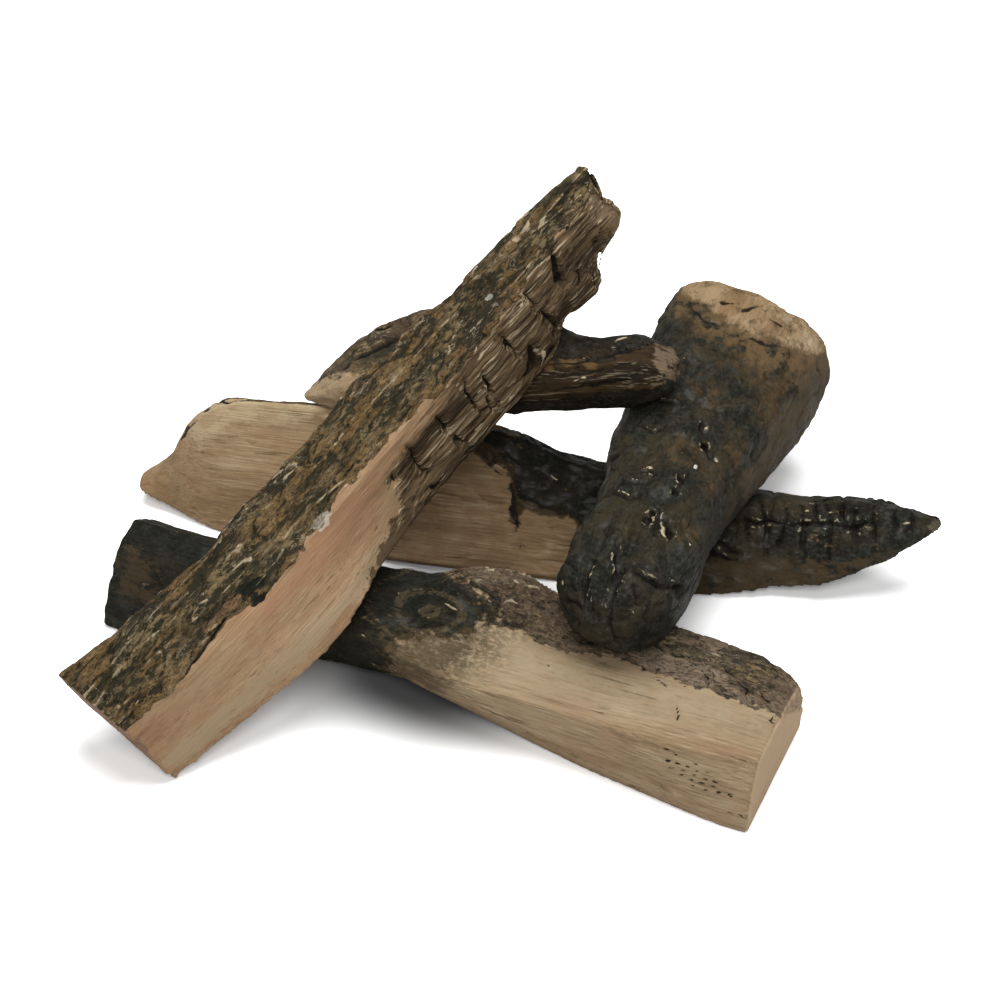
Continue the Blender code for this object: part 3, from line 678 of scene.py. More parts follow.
FRONT_LICKS = (
    (664,636, 680,640, 694,646), (700,648, 716,656, 728,668), (740,660, 758,668),
    (560,586, 566,592, 572,602), (480,566, 490,570, 506,572), (600,590, 616,596),
    (350,628, 366,638, 374,640), (392,590, 402,596), (440,600, 450,606, 460,614),
    (446,566, 462,562, 480,560, 492,558), (466,575, 490,584, 512,590), (500,580, 530,590, 548,600),
    (520,600, 535,610, 550,612), (502,604, 510,600, 520,606), (500,560, 516,566, 524,574),
    (556,640, 566,644), (718,678, 730,684), (388,650, 396,656))
FRONT_SHOULDER = (516,576, 536,586, 556,598, 575,606)
FRONT_CREST = (372,570, 410,572, 440,573)

front = Casting("front_log", "front_log_casting")
front_char = front.patch(FRONT_CHAR_OUTLINE, 32)
front_bark = np.maximum(front.patch(FRONT_BARK_OUTLINE, 14), front.towards(front.axes[1], 0.15, 0.4))
front_bark = front_bark * (1.0 - front_char)
front_end = front.towards(front.axes[0], 0.6, 0.8) * (front.share > 0.97)
front_split = (1.0 - front_char) * (1.0 - front_bark) * (1.0 - front_end)
front.height += 0.00045 * front_split * front.ripple(7, 150, 2, 11)
front.height += 0.0008 * front_bark * front.flakes(70, 130, 3, 12, 3)
front.height -= 0.0009 * front_bark * front.fissure(70, 150, 2, 13, 0.14)
front.height += 0.0007 * front_char * front.ripple(70, 150, 3, 14)
front.height += 0.0006 * front_char * front.ripple(24, 50, 1, 16)
across, down = front.pixels.T
knot_away = np.hypot(across - KNOT_AT[0], KNOT_FLATNESS * (down - KNOT_AT[1]))
swirl = np.exp(-(knot_away / KNOT_REACH) ** 2) * front.facing
folds = np.sin(knot_away / KNOT_FOLD + 3.4 * front.ripple(20, 20, 2, 15))
front.height += 0.0007 * swirl * folds
front.swell(FRONT_SHOULDER, 15.0, 0.0035)
front.swell(FRONT_CREST, 9.0, 0.0018)
for *ends, count in FRONT_DASHES:
    start, end = np.reshape(ends, (2, 2))
    for dash in range(count):
        front.groove(start + (end - start) * np.array([[dash + 0.1], [dash + 0.75]]) / count, 1.0, 0.0011)
front.grooves(FRONT_CRACKS, 1.2, 0.0012)
front.grooves(FRONT_LOW_CRACKS, 1.2, 0.0010, 0.65)
front.grooves(FRONT_RIDGES, 1.3, 0.0006, 0.35)
front.grooves(FRONT_SWIRLS, 2.4, 0.0012, 0.5)
front.lick(FRONT_LICKS, 1.9)
front.keep(
    FRONT_PATCHES, char=front_char, bark=front_bark, end=front_end, fold=swirl * ease((folds - 0.2) / 0.5))
front.press()

paint = Paint("front_log_paint")
tear = paint.noise(80, 120, 8, 0.7, 1.0)
mottle = paint.noise(130, 160, 6, 0.7, 1.7)
speckle = paint.noise(300, 460, 4, 0.7, 2.4)
streak = paint.noise(70, 520, 3, 0.6, 3.0)
# Soot, and painted shadow below the cross log's foot, darken the wood here and the bark below.
soot_and_shadow = paint.value("soot_and_shadow") * (mottle * 0.45 + speckle * 0.55).above(0.48, 0.06)
mauve = paint.worn("mauve", tear, 4.0, 0.5, 0.25) * 0.8
knot = paint.worn("knot", tear, 4.0, 0.5, 0.25) * 0.6
olive = paint.worn("olive", tear, 3.0, 0.5, 0.45)
wood, wood_height = split_wood(paint, FRONT_PALE, FRONT_DEEP, FRONT_PINK, 0.0, 0.75)
wood = paint.coats(
    wood, (FRONT_CREAM, paint.value("band") * mottle.above(0.42, 0.25)), (FRONT_SOOT_AND_SHADOW, soot_and_shadow * 0.75))
rind, rind_height = bark(
    paint, FRONT_BARK, BLOTCH, FRONT_WARM, 1.0, 0.44, ((FRONT_MAUVE, mauve), (FRONT_KNOT, knot)),
    mauve * -0.05)
# The bark takes the same soot and painted shadow.
rind = paint.mix(rind, FRONT_BARK_SOOT_AND_SHADOW, soot_and_shadow * 0.45)
burnt, burnt_height, gloss = char(paint, *FRONT_CHAR, 2.0)
burnt = paint.coats(
    burnt, (FRONT_BROWN, paint.worn("brown", tear, 5.0, 0.6, 0.35) * 0.75),
    (FRONT_OLIVE, olive * (mottle * 0.5 + speckle * 0.5).above(0.48, 0.06)),
    (FRONT_FOLD, paint.worn("fold", speckle, 5.0, 0.60, 0.35) * 0.4))
bark_share = paint.worn("bark", tear, 3.0)
char_share = paint.worn("char", tear * 0.5 + mottle * 0.5, 4.0, 0.5, 0.22).larger(olive * 0.6)
colour = paint.coats(wood, (rind, bark_share), (burnt, char_share), (FRONT_END, paint.value("end") * 0.85))
height = wood_height * (1.0 - bark_share) + rind_height * bark_share + burnt_height * char_share * 0.7
finish_paint(paint, colour, height, 0.80 - char_share * 0.2, char_share * gloss * 0.09, tear, streak)
front.dress(paint, "front_log")


# Back log: the longest casting, on the floor behind. Its split face runs out to a broken spike at
# the left. Its right third is burnt through and checked across into blocks, down to a pale tip.
BACK_WOOD = ((0.315, 0.220, 0.124), (0.205, 0.133, 0.070), (0.28, 0.180, 0.100))
BACK_CREAM = (0.43, 0.34, 0.205)
BACK_ORANGE = (0.200, 0.112, 0.050)
BACK_SHADE = (0.060, 0.040, 0.019)
BACK_BARK = (0.11, 0.075, 0.045)
BACK_WARM = (0.15, 0.10, 0.06)
BACK_CHAR = ((0.0065, 0.0065, 0.0045), (0.027, 0.0272, 0.020), (0.036, 0.027, 0.013))
BACK_CHAR_SHADE = (0.0045, 0.0042, 0.0028)
BACK_RUST = (0.055, 0.035, 0.015)
BACK_LIGHT = (0.13, 0.110, 0.070)

BACK_CHAR_OUTLINE = (
    455,425, 980,480, 980,620, 600,620, 592,532, 569,518, 545,513, 526,510, 518,513, 517,529, 512,522,
    512,500, 511,480, 506,470, 497,464, 488,470, 480,452, 470,444)
BACK_EDGE_OUTLINE = (
    455,430, 478,438, 498,452, 512,470, 520,500, 540,508, 575,518, 590,530, 575,528, 535,518, 519,516,
    513,505, 508,482, 494,470, 484,462, 470,450)
BACK_LOW_OUTLINE = (690,560, 740,558, 800,562, 850,560, 880,556, 870,572, 830,582, 790,597, 690,602)
BACK_TOP_OUTLINE = (180,430, 214,394, 262,390, 340,396, 340,412, 300,420, 240,422, 200,440)
BACK_SHADE_OUTLINE = (400,440, 520,430, 620,500, 720,560, 980,540, 980,640, 360,620)
BACK_BAND_OUTLINE = (740,560, 980,545, 980,640, 740,640)
BACK_TIP_OUTLINE = (926,521, 938,519, 948,529, 938,534, 930,530)
BACK_LIGHTS = (
    (750, 537, 5), (770, 540, 5), (868, 526, 5), (880, 509, 3), (900, 527, 4), (808, 528, 3), (720, 522, 4))
BACK_BLOCKS = (
    (761,500, 763,512, 766,524, 764,540), (784,502, 786,514, 784,526, 779,540, 776,556),
    (803,508, 804,524, 802,540, 804,562), (827,506, 829,526, 830,542, 827,562), (745,520, 748,540),
    (854,510, 855,528, 857,546), (842,508, 843,524), (873,505, 874,522, 878,546), (815,503, 817,520),
    (893,512, 896,532), (730,508, 736,522), (716,540, 726,548, 740,552), (912,514, 914,530),
    (740,520, 762,523, 784,523), (790,526, 812,523, 828,525), (834,527, 854,528, 872,524),
    (700,545, 715,556, 735,560))
BACK_SEAM = (512,478, 513,492, 515,506, 516,520, 518,532)
BACK_VEINS = (
    (482,444, 489,452, 494,462, 503,468, 510,474), (484,462, 494,472, 506,476),
    (514,484, 520,498, 532,504, 548,510, 566,516), (500,448, 512,462, 524,470, 540,476))
BACK_SPECKS = (
    (246,441, 251,444, 256,443), (209,457, 213,458), (182,476, 186,478), (488,500, 491,510, 495,514),
    (500,510, 506,516), (463,484, 480,498, 500,508), (520,540, 521,552), (545,522, 556,532),
    (484,458, 492,470, 505,476), (476,446, 488,456, 502,458), (430,560, 470,556), (560,590, 590,592),
    (700,586, 740,588))
BACK_RIM = (
    (203,404, 214,400, 232,402), (214,397, 230,396, 258,394, 285,396), (262,398, 290,399, 330,402),
    (203,414, 210,408), (175,446, 186,430, 200,418))
BACK_LICKS = (
    (520,470, 535,474, 552,480), (548,474, 560,480), (742,532, 752,534, 758,540), (800,512, 812,512),
    (826,514, 836,512), (850,508, 862,508), (884,508, 893,510), (900,524, 912,524),
    (705,530, 716,522, 728,512), (758,520, 766,524), (786,522, 798,524))
BACK_SKIRTS = ((376,557, 420,561, 462,567), (516,574, 566,580))

back = Casting("back_log", "back_log_casting")
back_char = back.patch(BACK_CHAR_OUTLINE, 12)
back_bark = back.towards(back.axes[1], 0.25, 0.5)
back_split = (1.0 - back_char) * (1.0 - back_bark)
back.height += 0.00045 * back_split * back.ripple(7, 120, 2, 21)
back.height += 0.0008 * back_char * back.ripple(90, 140, 3, 22)
back.height += 0.0010 * back_bark * back.flakes(50, 110, 3, 23, 3)
back.height -= 0.0010 * back_bark * back.fissure(50, 120, 2, 24, 0.14)
back.grooves(BACK_BLOCKS, 2.4, 0.0024)
for line in BACK_SKIRTS:
    back.swell(line, 9.0, 0.0035)
back.grooves(BACK_VEINS, 1.6, 0.0010, 0.8)
back.grooves(BACK_SPECKS, 1.1, 0.0008, 0.7)
back.grooves(BACK_RIM, 1.6, 0.0010)
back.groove(BACK_SEAM, 3.0, 0.0016)
back.lick(BACK_LICKS, 1.8)
back.keep(
    # Painted shade: the char darkens towards its left end, in among the other logs.
    {"top": (30, BACK_TOP_OUTLINE)}, char=back_char, bark=back_bark, sooty=ease((0.68 - back.share) / 0.08),
    rust=np.maximum(back.patch(BACK_LOW_OUTLINE, 10), back.patch(BACK_EDGE_OUTLINE, 5)),
    light=np.maximum(0.45 * back.spots(BACK_LIGHTS, 0.9), back.patch(BACK_TIP_OUTLINE, 5)),
    # Painted shade: the split face darkens in its middle, where the top log shadows it, and along the low
    # band at the right.
    shade=np.maximum(0.35 * back.patch(BACK_SHADE_OUTLINE, 50), back.patch(BACK_BAND_OUTLINE, 50)))
back.press()

paint = Paint("back_log_paint")
tear = paint.noise(110, 150, 8, 0.7, 4.0)
mottle = paint.noise(90, 150, 6, 0.7, 4.6)
streak = paint.noise(80, 480, 3, 0.6, 8.0)
wood, wood_height = split_wood(paint, *BACK_WOOD, 5.0, 0.55)
wood = paint.coats(
    wood, (BACK_CREAM, paint.worn("top", tear, 2.0, 0.5, 0.45) * 0.75),
    (BACK_ORANGE, mottle.above(0.54, 0.08) * 0.35),
    # Painted shade, in the middle of the split face and along its low band.
    (BACK_SHADE, paint.value("shade") * mottle.above(0.35, 0.25) * 0.9))
rind, rind_height = bark(paint, BACK_BARK, BLOTCH, BACK_WARM, 6.0, 0.50)
burnt, burnt_height, gloss = char(paint, *BACK_CHAR, 7.0)
burnt = paint.coats(
    # Painted shade on the char towards its left end.
    burnt, (BACK_CHAR_SHADE, paint.value("sooty") * 0.6),
    (BACK_RUST, paint.worn("rust", tear, 5.5, 0.62, 0.30) * 0.65),
    (BACK_LIGHT, paint.worn("light", tear, 5.5, 0.62, 0.25) * 0.55))
bark_share = paint.worn("bark", tear, 3.0, 0.5, 0.10)
char_share = paint.worn("char", tear * 0.5 + mottle * 0.5, 4.0, 0.5, 0.28)
colour = paint.coats(wood, (rind, bark_share), (burnt, char_share))
height = wood_height * (1.0 - bark_share) * (1.0 - char_share)
height = height + rind_height * bark_share + burnt_height * char_share
finish_paint(paint, colour, height, 0.80 - char_share * 0.2, char_share * gloss * 0.12, tear, streak)
back.dress(paint, "back_log")


# Cross log: the thick charred casting that lies over both base logs. Its foot is knuckled like a
# burnt stub, rust shows through the char on its upper half, and a band of bare wood closes it.
CROSS_WOOD = ((0.27, 0.190, 0.108), (0.165, 0.105, 0.052), (0.20, 0.125, 0.062))
CROSS_SCORCHED_WOOD = (0.070, 0.043, 0.021)
CROSS_PALE_WOOD = (0.33, 0.26, 0.165)
CROSS_CHAR = ((0.008, 0.0082, 0.0056), (0.024, 0.0240, 0.017), (0.038, 0.028, 0.012))
CROSS_STAIN = (0.090, 0.052, 0.021)
CROSS_SIDE = (0.080, 0.057, 0.032)
CROSS_SCORCH = (0.105, 0.066, 0.030)
CROSS_GLINT = (0.55, 0.54, 0.50)
CROSS_END = (0.21, 0.145, 0.082)

# Creases and checks give the line, the groove's width and depth, and for some the lip and its side.
CROSS_BAND_OUTLINE = (
    660,240, 870,240, 870,340, 826,348, 812,350, 800,344, 782,344, 766,334, 750,334, 736,326, 722,320,
    712,308, 700,304, 690,292, 678,292)
CROSS_PATCHES = {
    "scorch": (60, (650,230, 880,230, 880,380, 800,380, 770,366, 730,346, 700,326, 680,306, 655,292)),
    "side": (30, (870,340, 870,470, 745,500, 738,482, 760,446, 782,412, 796,380, 806,352))}
CROSS_STAINS = (
    (690, 385, 20), (682, 452, 18), (735, 450, 18), (772, 408, 22), (790, 372, 20), (702, 322, 16),
    (738, 352, 28), (716, 474, 20), (700, 340, 18), (762, 380, 30), (667, 391, 14), (690, 530, 18),
    (720, 400, 22))
CROSS_PITS = (
    (647, 518, 4.5), (671, 532, 4.5), (652, 512, 3), (703, 425, 3), (705, 446, 3), (681, 478, 3.5),
    (675, 492, 3))
# Painted glints: tiny white spots on crests of the char.
CROSS_GLINT_SPOTS = ((696, 466, 2.2), (690, 544, 1.5))
CROSS_CREASES = (
    ((616,538, 616,554, 618,570, 613,590, 611,602), 3.0, 0.0024, 0.0006, 1),
    ((593,556, 587,572, 585,590, 582,606), 2.4, 0.0018, 0.0005, -1),
    ((632,570, 646,580, 660,586, 676,588, 686,584), 3.2, 0.0022, 0.0008, -1),
    ((658,508, 656,520, 654,532), 2.6, 0.0022, 0.0004, -1),
    ((664,518, 668,528, 672,540), 2.6, 0.0022, 0.0004, 1),
    ((634,584, 636,596, 640,606), 2.4, 0.0012, 0.0004, 1),
    ((608,600, 612,612, 610,626, 616,642), 2.2, 0.0014, 0.0003, 1),
    ((699,424, 704,430, 707,434), 1.8, 0.0018, 0.0001, -1),
    ((703,446, 708,454, 716,460), 1.8, 0.0018, 0.0001, -1),
    ((636,474, 650,470, 664,474), 2.0, 0.0012, 0.0004, -1),
    ((616,484, 632,482, 650,484), 2.0, 0.001, 0.0004, -1),
    ((612,494, 630,498, 644,494), 2.0, 0.001, 0.0003, -1),
    ((606,470, 612,460, 622,452), 2.0, 0.0012, 0.0003, 1),
    ((690,470, 682,480, 676,494), 2.2, 0.0016, 0.0003, 1), ((740,312, 752,308, 758,303), 2.0, 0.0012),
    ((688,306, 704,318, 722,326), 2.0, 0.001), ((744,336, 766,342, 790,350), 2.2, 0.0012),
    ((720,300, 735,306), 1.6, 0.001), ((770,318, 786,326), 1.6, 0.001),
    ((560,600, 572,602, 580,610), 2.4, 0.0016), ((652,400, 668,404, 684,402), 2.0, 0.001, 0.0003, -1),
    ((664,368, 676,362, 690,366), 2.0, 0.001, 0.0003, -1),
    ((640,425, 655,432, 668,428), 2.0, 0.001, 0.0003, -1))
CROSS_LICKS = (
    (582,570, 586,562, 590,556), (560,590, 562,580, 568,574), (598,602, 592,600, 594,588),
    (611,588, 616,592, 620,596), (633,588, 636,596, 638,602), (626,604, 634,610, 638,618),
    (645,566, 656,572, 668,578, 674,582), (676,580, 684,574, 690,566), (620,548, 628,552),
    (660,508, 663,520, 670,530), (697,500, 704,508), (636,540, 642,538), (610,524, 614,532),
    (622,486, 630,492), (700,418, 706,426), (712,456, 720,462), (690,504, 698,512), (584,622, 592,616),
    (592,630, 598,634), (640,478, 654,472, 664,476), (690,548, 694,540), (652,560, 664,564, 672,566))

cross = Casting("cross_log", "cross_log_casting")
cross_band = cross.patch(CROSS_BAND_OUTLINE, 22)
cross_end = cross.towards(cross.axes[0], 0.6, 0.8) * (cross.share > 0.96)
cross.height += 0.0007 * cross.ripple(90, 130, 3, 31)
cross.height -= 0.0008 * cross.fissure(70, 110, 2, 33, 0.16)
for crease in CROSS_CREASES:
    cross.groove(*crease)
cross.lick(CROSS_LICKS, 1.8)
pits = cross.spots(CROSS_PITS)
cross.height -= 0.0035 * pits
cross.mark("crack", pits)
cross.keep(
    CROSS_PATCHES, band=cross_band, end=cross_end, stain=0.30 * cross.spots(CROSS_STAINS, 0.9),
    white=cross.spots(CROSS_GLINT_SPOTS))
cross.press()

paint = Paint("cross_log_paint")
tear = paint.noise(90, 120, 8, 0.7, 9.0)
soft_tear = paint.noise(34, 46, 8, 0.68, 10.0)
mottle = paint.noise(120, 150, 6, 0.7, 10.6)
streak = paint.noise(300, 420, 3, 0.6, 13.0)
stain = paint.worn("stain", soft_tear * 0.5 + mottle * 0.5, 4.0, 0.45, 0.45)
side = paint.worn("side", soft_tear, 2.5, 0.5, 0.25)
scorched = paint.worn("scorch", soft_tear, 3.0, 0.5, 0.40)
band = paint.worn("band", tear * 0.5 + soft_tear * 0.5, 4.5, 0.5, 0.35)
wood, wood_height = split_wood(paint, *CROSS_WOOD, 11.0, 0.35)
wood = paint.coats(
    wood, (CROSS_SCORCHED_WOOD, mottle.above(0.56, 0.05) * 0.75),
    (CROSS_PALE_WOOD, soft_tear.above(0.57, 0.05) * 0.6))
burnt, burnt_height, gloss = char(paint, *CROSS_CHAR, 12.0)
colour = paint.coats(
    burnt, (CROSS_STAIN, stain * 0.7), (CROSS_SIDE, side * (0.40 + mottle * 0.7)),
    (CROSS_SCORCH, scorched * mottle.above(0.46, 0.08) * 0.9),
    # Painted glints on crests of the char.
    (CROSS_GLINT, (paint.value("white") + tear * 0.3).above(0.75, 0.10) * 0.8),
    (wood, band), (CROSS_END, paint.value("end") * 0.8))
height = burnt_height * (1.0 - band) + (wood_height + mottle * 0.6) * band
gloss = (1.0 - band) * gloss * (1.0 - side) * 0.12
finish_paint(paint, colour, height, 0.65 + band * 0.2, gloss, tear, streak)
cross.dress(paint, "cross_log")


# Small log: the short casting that bridges the back log and the cross log. Bark over split wood,
# burnt black below, with a pale broken tip at the right.
SMALL_WOOD = ((0.040, 0.024, 0.010), (0.010, 0.006, 0.003), (0.027, 0.016, 0.007))
SMALL_CHAR = ((0.006, 0.005, 0.0035), (0.026, 0.023, 0.017), (0.022, 0.015, 0.007))
SMALL_BARK = ((0.085, 0.060, 0.034), (0.026, 0.022, 0.015), (0.12, 0.080, 0.042))
SMALL_GOLD = (0.145, 0.085, 0.030)
SMALL_PALE = (0.34, 0.245, 0.145)
SMALL_TIP = (0.17, 0.120, 0.078)

SMALL_PATCHES = {
    "tan": (6, (520,372, 560,356, 600,360, 640,347, 680,340, 690,378, 660,384, 620,392, 560,398, 520,402)),
    "pale": (10, (290,402, 316,382, 345,372, 366,376, 360,392, 350,412, 300,414)),
    "tip": (8, (652,344, 690,340, 692,385, 664,382, 656,364))}
SMALL_GOLD_SPOTS = ((568, 360, 8), (590, 364, 9), (612, 352, 7), (548, 366, 6))
SMALL_RIFTS = (
    (540,364, 580,362, 620,352, 650,346), (540,378, 580,374, 620,364, 655,356),
    (540,392, 590,386, 640,376, 662,370), (560,368, 590,370, 612,366, 650,362), (330,352, 360,335, 400,322),
    (340,370, 370,352, 400,340), (396,318, 404,314, 410,320))
SMALL_LICKS = (
    (336,352, 348,348), (640,352, 656,356), (560,382, 590,378, 610,374), (600,378, 630,372),
    (400,330, 420,318), (612,340, 630,338))

small = Casting("small_log", "small_log_casting")
small.height += 0.0007 * small.ripple(16, 160, 2, 41)
small.height += 0.0008 * small.ripple(90, 130, 3, 42)
small.grooves(SMALL_RIFTS, 1.6, 0.0016)
small.lick(SMALL_LICKS, 1.8)
small.keep(SMALL_PATCHES, gold=small.spots(SMALL_GOLD_SPOTS, 0.8), left=ease((0.55 - small.share) / 0.1))
small.press()

paint = Paint("small_log_paint")
tear = paint.noise(70, 150, 8, 0.7, 14.0)
streak = paint.noise(80, 520, 3, 0.6, 18.0)
tan = paint.worn("tan", tear, 4.0, 0.5, 0.10)
wood, wood_height = split_wood(paint, *SMALL_WOOD, 15.0, 0.45)
wood = paint.mix(wood, SMALL_GOLD, paint.worn("gold", tear, 4.5, 0.62, 0.25) * 0.5)
burnt, burnt_height, gloss = char(paint, *SMALL_CHAR, 16.0)
rind = bark(paint, *SMALL_BARK, 17.0, 0.5)[0]
colour = paint.coats(
    burnt, (rind, paint.value("left")), (wood, tan),
    (SMALL_PALE, paint.worn("pale", tear, 4.0, 0.5, 0.25) * 0.9),
    (SMALL_TIP, paint.worn("tip", tear, 6.5, 0.85, 0.35) * 0.6))
height = wood_height * tan + burnt_height * (1.0 - tan)
finish_paint(paint, colour, height, 0.75, gloss * (1.0 - tan) * 0.1, tear, streak)
small.dress(paint, "small_log")


# Top log: the long casting that leans over the stack from a foot on the floor. A strip of bark runs
# up its left side. The split face beside it is pink and smooth below, and above it is burnt brown,
# checked deeply across and broken off in a jagged end.
TOP_WOOD = ((0.322, 0.218, 0.124), (0.232, 0.142, 0.076), (0.280, 0.163, 0.089))
TOP_DARK_WOOD = ((0.165, 0.110, 0.057), (0.032, 0.021, 0.011), (0.115, 0.076, 0.040))
TOP_BARK = ((0.165, 0.105, 0.044), (0.019, 0.019, 0.012), (0.230, 0.152, 0.070))
TOP_BLUSH = (0.250, 0.128, 0.074)
TOP_STREAK = (0.32, 0.242, 0.150)
TOP_EDGE = (0.060, 0.040, 0.021)
TOP_TIP = (0.150, 0.105, 0.066)
TOP_RUST = (0.180, 0.100, 0.040)
TOP_PINK = (0.190, 0.112, 0.062)
TOP_KNOT = (0.016, 0.016, 0.011)
TOP_OVAL = (0.36, 0.34, 0.29)
TOP_GLEAM = (0.44, 0.38, 0.30)
TOP_END = (0.24, 0.150, 0.098)

TOP_BARK_OUTLINE = (
    133,724, 162,700, 182,680, 200,656, 215,638, 236,612, 250,606, 262,600, 270,588, 284,570, 300,552,
    310,534, 322,526, 334,504, 345,488, 362,470, 372,458, 386,444, 398,428, 412,416, 425,404, 440,392,
    455,374, 470,358, 484,344, 500,324, 512,306, 524,292, 530,270, 545,258, 556,240, 566,228, 572,212,
    588,198, 604,190, 610,150, 540,130, 300,340, 20,640, 60,700, 110,740)
TOP_BURNT_OUTLINE = (
    402,452, 440,395, 620,130, 680,200, 640,330, 500,440, 440,500, 412,520, 394,530, 400,500, 392,478)
TOP_PATCHES = {
    "streak": (16, (
        158,764, 200,724, 250,684, 300,638, 338,600, 360,566, 384,530, 400,520, 392,548, 366,590, 340,622,
        300,660, 240,712, 185,764)),
    "edge": (14, (400,508, 430,500, 420,540, 405,570, 380,606, 362,624, 364,596, 372,572, 384,546)),
    "pink": (30, (190,614, 200,596, 225,590, 240,596, 236,612, 214,630, 196,636)),
    "blush": (20, (262,610, 300,560, 345,500, 372,480, 360,520, 320,570, 290,604, 262,626)),
    "tip": (12, (578,178, 588,180, 600,200, 616,214, 620,226, 608,222, 596,210, 584,198)),
    "gleam": (5, (312,528, 322,512, 334,510, 332,524, 320,532)),
    "scorch": (40, (430,330, 500,260, 560,180, 600,150, 620,200, 560,300, 500,360, 440,400))}
TOP_RUST_SPOTS = (
    (352, 420, 26), (392, 412, 24), (430, 352, 16), (522, 285, 14), (398, 430, 18), (445, 335, 12),
    (290, 556, 14), (180, 628, 16), (210, 618, 14), (500, 292, 14), (420, 380, 14), (560, 212, 10))
TOP_KNOTS = ((250, 590, 10), (257, 598, 8), (258, 584, 6))
TOP_OVAL_SPOTS = ((490, 297, 3.0), (487, 299, 2.4))
TOP_SEAM = (238,604, 226,620, 214,634, 204,650, 192,664, 182,682)
TOP_CHECKS = (
    ((521,292, 528,299, 536,308), 2.2, 0.004, 0.0006, 1),
    ((543,309, 549,317, 556,323, 564,330), 3.0, 0.0045, 0.0004, -1),
    ((556,322, 566,320, 576,316, 582,310), 2.4, 0.0035, 0.0006, -1),
    ((502,334, 508,342, 513,350, 518,358), 1.8, 0.003, 0.0008, -1),
    ((532,346, 534,356, 534,368), 4.2, 0.005, 0.0006, -1),
    ((530,362, 530,372, 526,378), 2.0, 0.003, 0.0006, -1),
    ((463,380, 467,390, 472,402, 480,411), 1.8, 0.0032, 0.0009, 1),
    ((484,375, 489,386, 491,398, 494,408), 2.6, 0.004, 0.0009, 1),
    ((480,411, 488,407, 497,409), 1.8, 0.0024, 0.0006, -1),
    ((437,416, 443,424, 451,431), 2.0, 0.0034, 0.0005, 1),
    ((454,437, 461,443, 470,446), 2.2, 0.0034, 0.0007, -1),
    ((408,445, 413,453, 418,464, 426,474), 2.4, 0.0036, 0.0005, 1),
    ((395,474, 395,484), 1.8, 0.0022, 0.0004, -1), ((430,490, 436,488, 442,484), 2.2, 0.0028),
    ((551,252, 556,262, 557,272, 560,280, 566,283), 2.8, 0.004, 0.0008, -1),
    ((575,292, 580,283, 580,274, 574,268), 1.6, 0.0024, 0.0008, 1),
    ((598,286, 595,276, 594,258), 1.6, 0.002, 0.0006, -1), ((600,240, 594,244), 2.6, 0.003),
    ((588,172, 595,184, 604,196, 614,206), 3.0, 0.003, 0.0006, -1),
    ((545,362, 552,352, 560,344), 1.6, 0.0018, 0.0005, 1), ((420,478, 428,470, 434,468), 1.8, 0.0024))
TOP_SPLINTERS = (
    (440,444, 462,412, 478,396), (500,402, 515,384, 524,370), (474,366, 490,340), (566,300, 578,288),
    (505,412, 520,396), (425,468, 452,436), (575,312, 592,292), (520,342, 545,312), (415,492, 442,462),
    (482,424, 502,402), (540,330, 552,312), (450,452, 474,424), (560,306, 572,290), (460,400, 472,386))
TOP_LICKS = (
    (475,366, 488,350, 500,334), (506,352, 512,340, 520,330), (484,372, 494,356, 508,346),
    (500,396, 512,384, 522,374), (506,404, 518,390), (440,462, 452,450, 462,440),
    (470,432, 478,426, 486,418), (490,390, 500,376), (470,356, 480,348), (476,394, 484,386),
    (548,260, 556,250, 562,236), (556,236, 566,226, 568,232), (578,258, 586,246),
    (575,270, 580,276, 578,284), (584,300, 594,290), (566,308, 574,298, 580,290),
    (510,318, 520,308, 526,300), (498,322, 504,330, 508,338), (534,346, 540,356, 542,360),
    (424,470, 432,462), (396,524, 400,510, 408,500), (404,500, 412,494, 420,488),
    (582,178, 588,190, 598,203), (600,206, 608,214, 613,223), (597,232, 604,240), (460,378, 466,382),
    (540,236, 550,244), (428,480, 434,470), (436,482, 446,470))
TOP_BARK_LICKS = (
    (174,608, 180,598, 192,590, 206,582, 218,572), (192,620, 198,606, 212,598, 220,594),
    (190,630, 194,620, 198,616), (228,558, 240,548, 252,538), (236,556, 246,544),
    (140,646, 150,638, 164,630, 172,628), (148,652, 160,652, 170,642, 182,640), (206,560, 216,548, 232,530),
    (250,530, 262,518, 276,512), (262,512, 276,500, 290,498), (330,452, 346,432, 360,420),
    (362,402, 370,394, 392,382), (386,388, 398,378), (420,352, 426,344, 440,324), (128,662, 146,654),
    (320,462, 334,450), (300,480, 318,466), (96,690, 106,694, 112,690), (106,682, 120,672, 132,672),
    (84,684, 96,688, 104,700), (158,700, 168,694, 180,682), (282,484, 296,470), (430,332, 444,318),
    (340,428, 348,436), (255,602, 262,612, 268,618), (262,596, 268,592), (168,614, 176,602),
    (210,574, 224,568), (240,520, 252,504), (268,490, 280,478))
TOP_RIDGE_LICKS = (
    (272,580, 282,570, 296,556), (300,548, 312,530), (316,520, 324,512, 332,512),
    (336,500, 352,480, 372,458), (386,444, 402,424, 420,408), (440,392, 456,372), (470,354, 480,342))

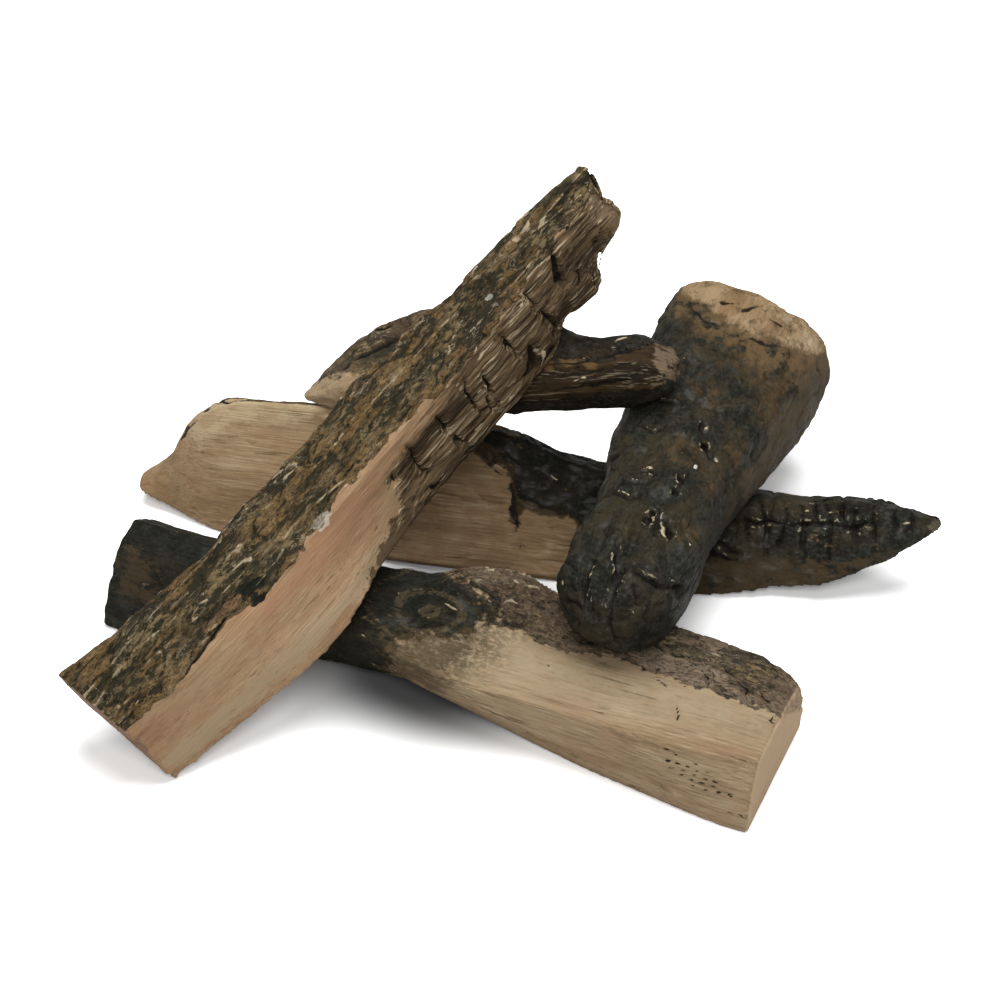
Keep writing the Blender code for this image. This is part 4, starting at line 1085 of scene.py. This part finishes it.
top = Casting("top_log", "top_log_casting")
top_under = ease((-(top.out @ top.axes[2]) - 0.2) / 0.4)
top_behind = top.towards(top.axes[1], 0.2, 0.5) * (1.0 - top_under)
top_bark = np.maximum(top.patch(TOP_BARK_OUTLINE, 9), top_behind)
top_end = top.towards(-top.axes[0], 0.6, 0.8) * (top.share < 0.04)
top_bark *= 1.0 - top_end
top_burnt = top.patch(TOP_BURNT_OUTLINE, 30) * (1.0 - top_bark)
top_smooth = (1.0 - top_bark) * (1.0 - top_burnt)
top.height += 0.0007 * top_bark
top.height += 0.0008 * top_bark * top.flakes(60, 140, 3, 51, 3)
top.height -= 0.0010 * top_bark * top.fissure(50, 150, 2, 52, 0.15)
top.height += 0.0006 * top_bark * top.ripple(80, 230, 2, 57)
top.height += 0.0004 * top_smooth * top.ripple(8, 90, 3, 53)
crests = top_bark * top.fissure(9, 75, 2, 58, 0.12)
top.height += 0.0009 * crests
top.marks["cream"] = crests * top.broken
top.height += 0.0006 * top_burnt * top.ripple(18, 260, 1, 54)
top.height += 0.0008 * top_burnt * top.flakes(60, 60, 3, 55, 2)
for check in TOP_CHECKS:
    top.groove(*check)
top.grooves(TOP_SPLINTERS, 1.2, 0.0008, 0.6)
rim = ease((0.045 - top.share) / 0.03)
top.height -= 0.0024 * rim * ease(top.ripple(1, 75, 2, 59) / 0.35)
top.groove(TOP_SEAM, 1.4, 0.0014)
top.lick(TOP_LICKS, 1.9)
top.lick(TOP_BARK_LICKS, 1.9, 0.0007)
top.lick(TOP_RIDGE_LICKS, 2.0, 0.0005)
knots = top.spots(TOP_KNOTS, 0.9)
top.height -= 0.0016 * knots
top.keep(
    TOP_PATCHES, bark=top_bark, burnt=top_burnt, end=top_end, knot=knots, oval=top.spots(TOP_OVAL_SPOTS),
    rust=0.32 * top.spots(TOP_RUST_SPOTS, 0.9), ragged=ease((top.share - 0.24) / 0.08))
top.press()

paint = Paint("top_log_paint")
tear = paint.noise(100, 150, 8, 0.7, 20.0)
grain = paint.noise(16, 260, 5, 0.6, 20.5)
streak = paint.noise(80, 520, 3, 0.6, 25.0)
burnt_share = paint.worn("burnt", grain, 2.5, 0.5, 0.25)
rust = paint.worn("rust", tear, 4.5, 0.45, 0.20).larger(paint.value("scorch") * 0.6)
pink = paint.worn("pink", tear, 5.0, 0.6, 0.20)
bark_share = paint.worn("bark", tear, 1.0 + paint.value("ragged") * 2.0)
wood, wood_height = split_wood(paint, *TOP_WOOD, 21.0, 0.5)
dark, dark_height = split_wood(paint, *TOP_DARK_WOOD, 22.0, 1.6)
wood = paint.coats(
    wood, (TOP_BLUSH, paint.worn("blush", tear, 2.5, 0.5, 0.40) * 0.55),
    (TOP_STREAK, paint.worn("streak", grain, 3.5, 0.5, 0.25) * 0.7),
    (TOP_EDGE, paint.worn("edge", tear, 4.0, 0.55, 0.15) * 0.85),
    (dark, burnt_share), (TOP_TIP, paint.worn("tip", tear, 4.0, 0.6, 0.25) * 0.5))
rind, rind_height = bark(
    paint, *TOP_BARK, 24.0, 0.54, ((TOP_RUST, rust * 0.75), (TOP_PINK, pink * 0.8)),
    paint.value("scorch") * 0.012)
rind = paint.coats(
    rind, (TOP_KNOT, paint.worn("knot", tear, 5.0, 0.5, 0.15)),
    (TOP_OVAL, paint.value("oval").above(0.5, 0.1) * 0.8))
colour = paint.coats(
    wood, (rind, bark_share), (TOP_GLEAM, paint.worn("gleam", tear, 4.0, 0.6, 0.15) * 0.8),
    (TOP_END, paint.value("end") * 0.85))
height = wood_height * (1.0 - bark_share) + rind_height * bark_share * 1.2 + dark_height * burnt_share * 0.5
finish_paint(paint, colour, height, 0.82, 0.0, tear, streak)
top.dress(paint, "top_log")
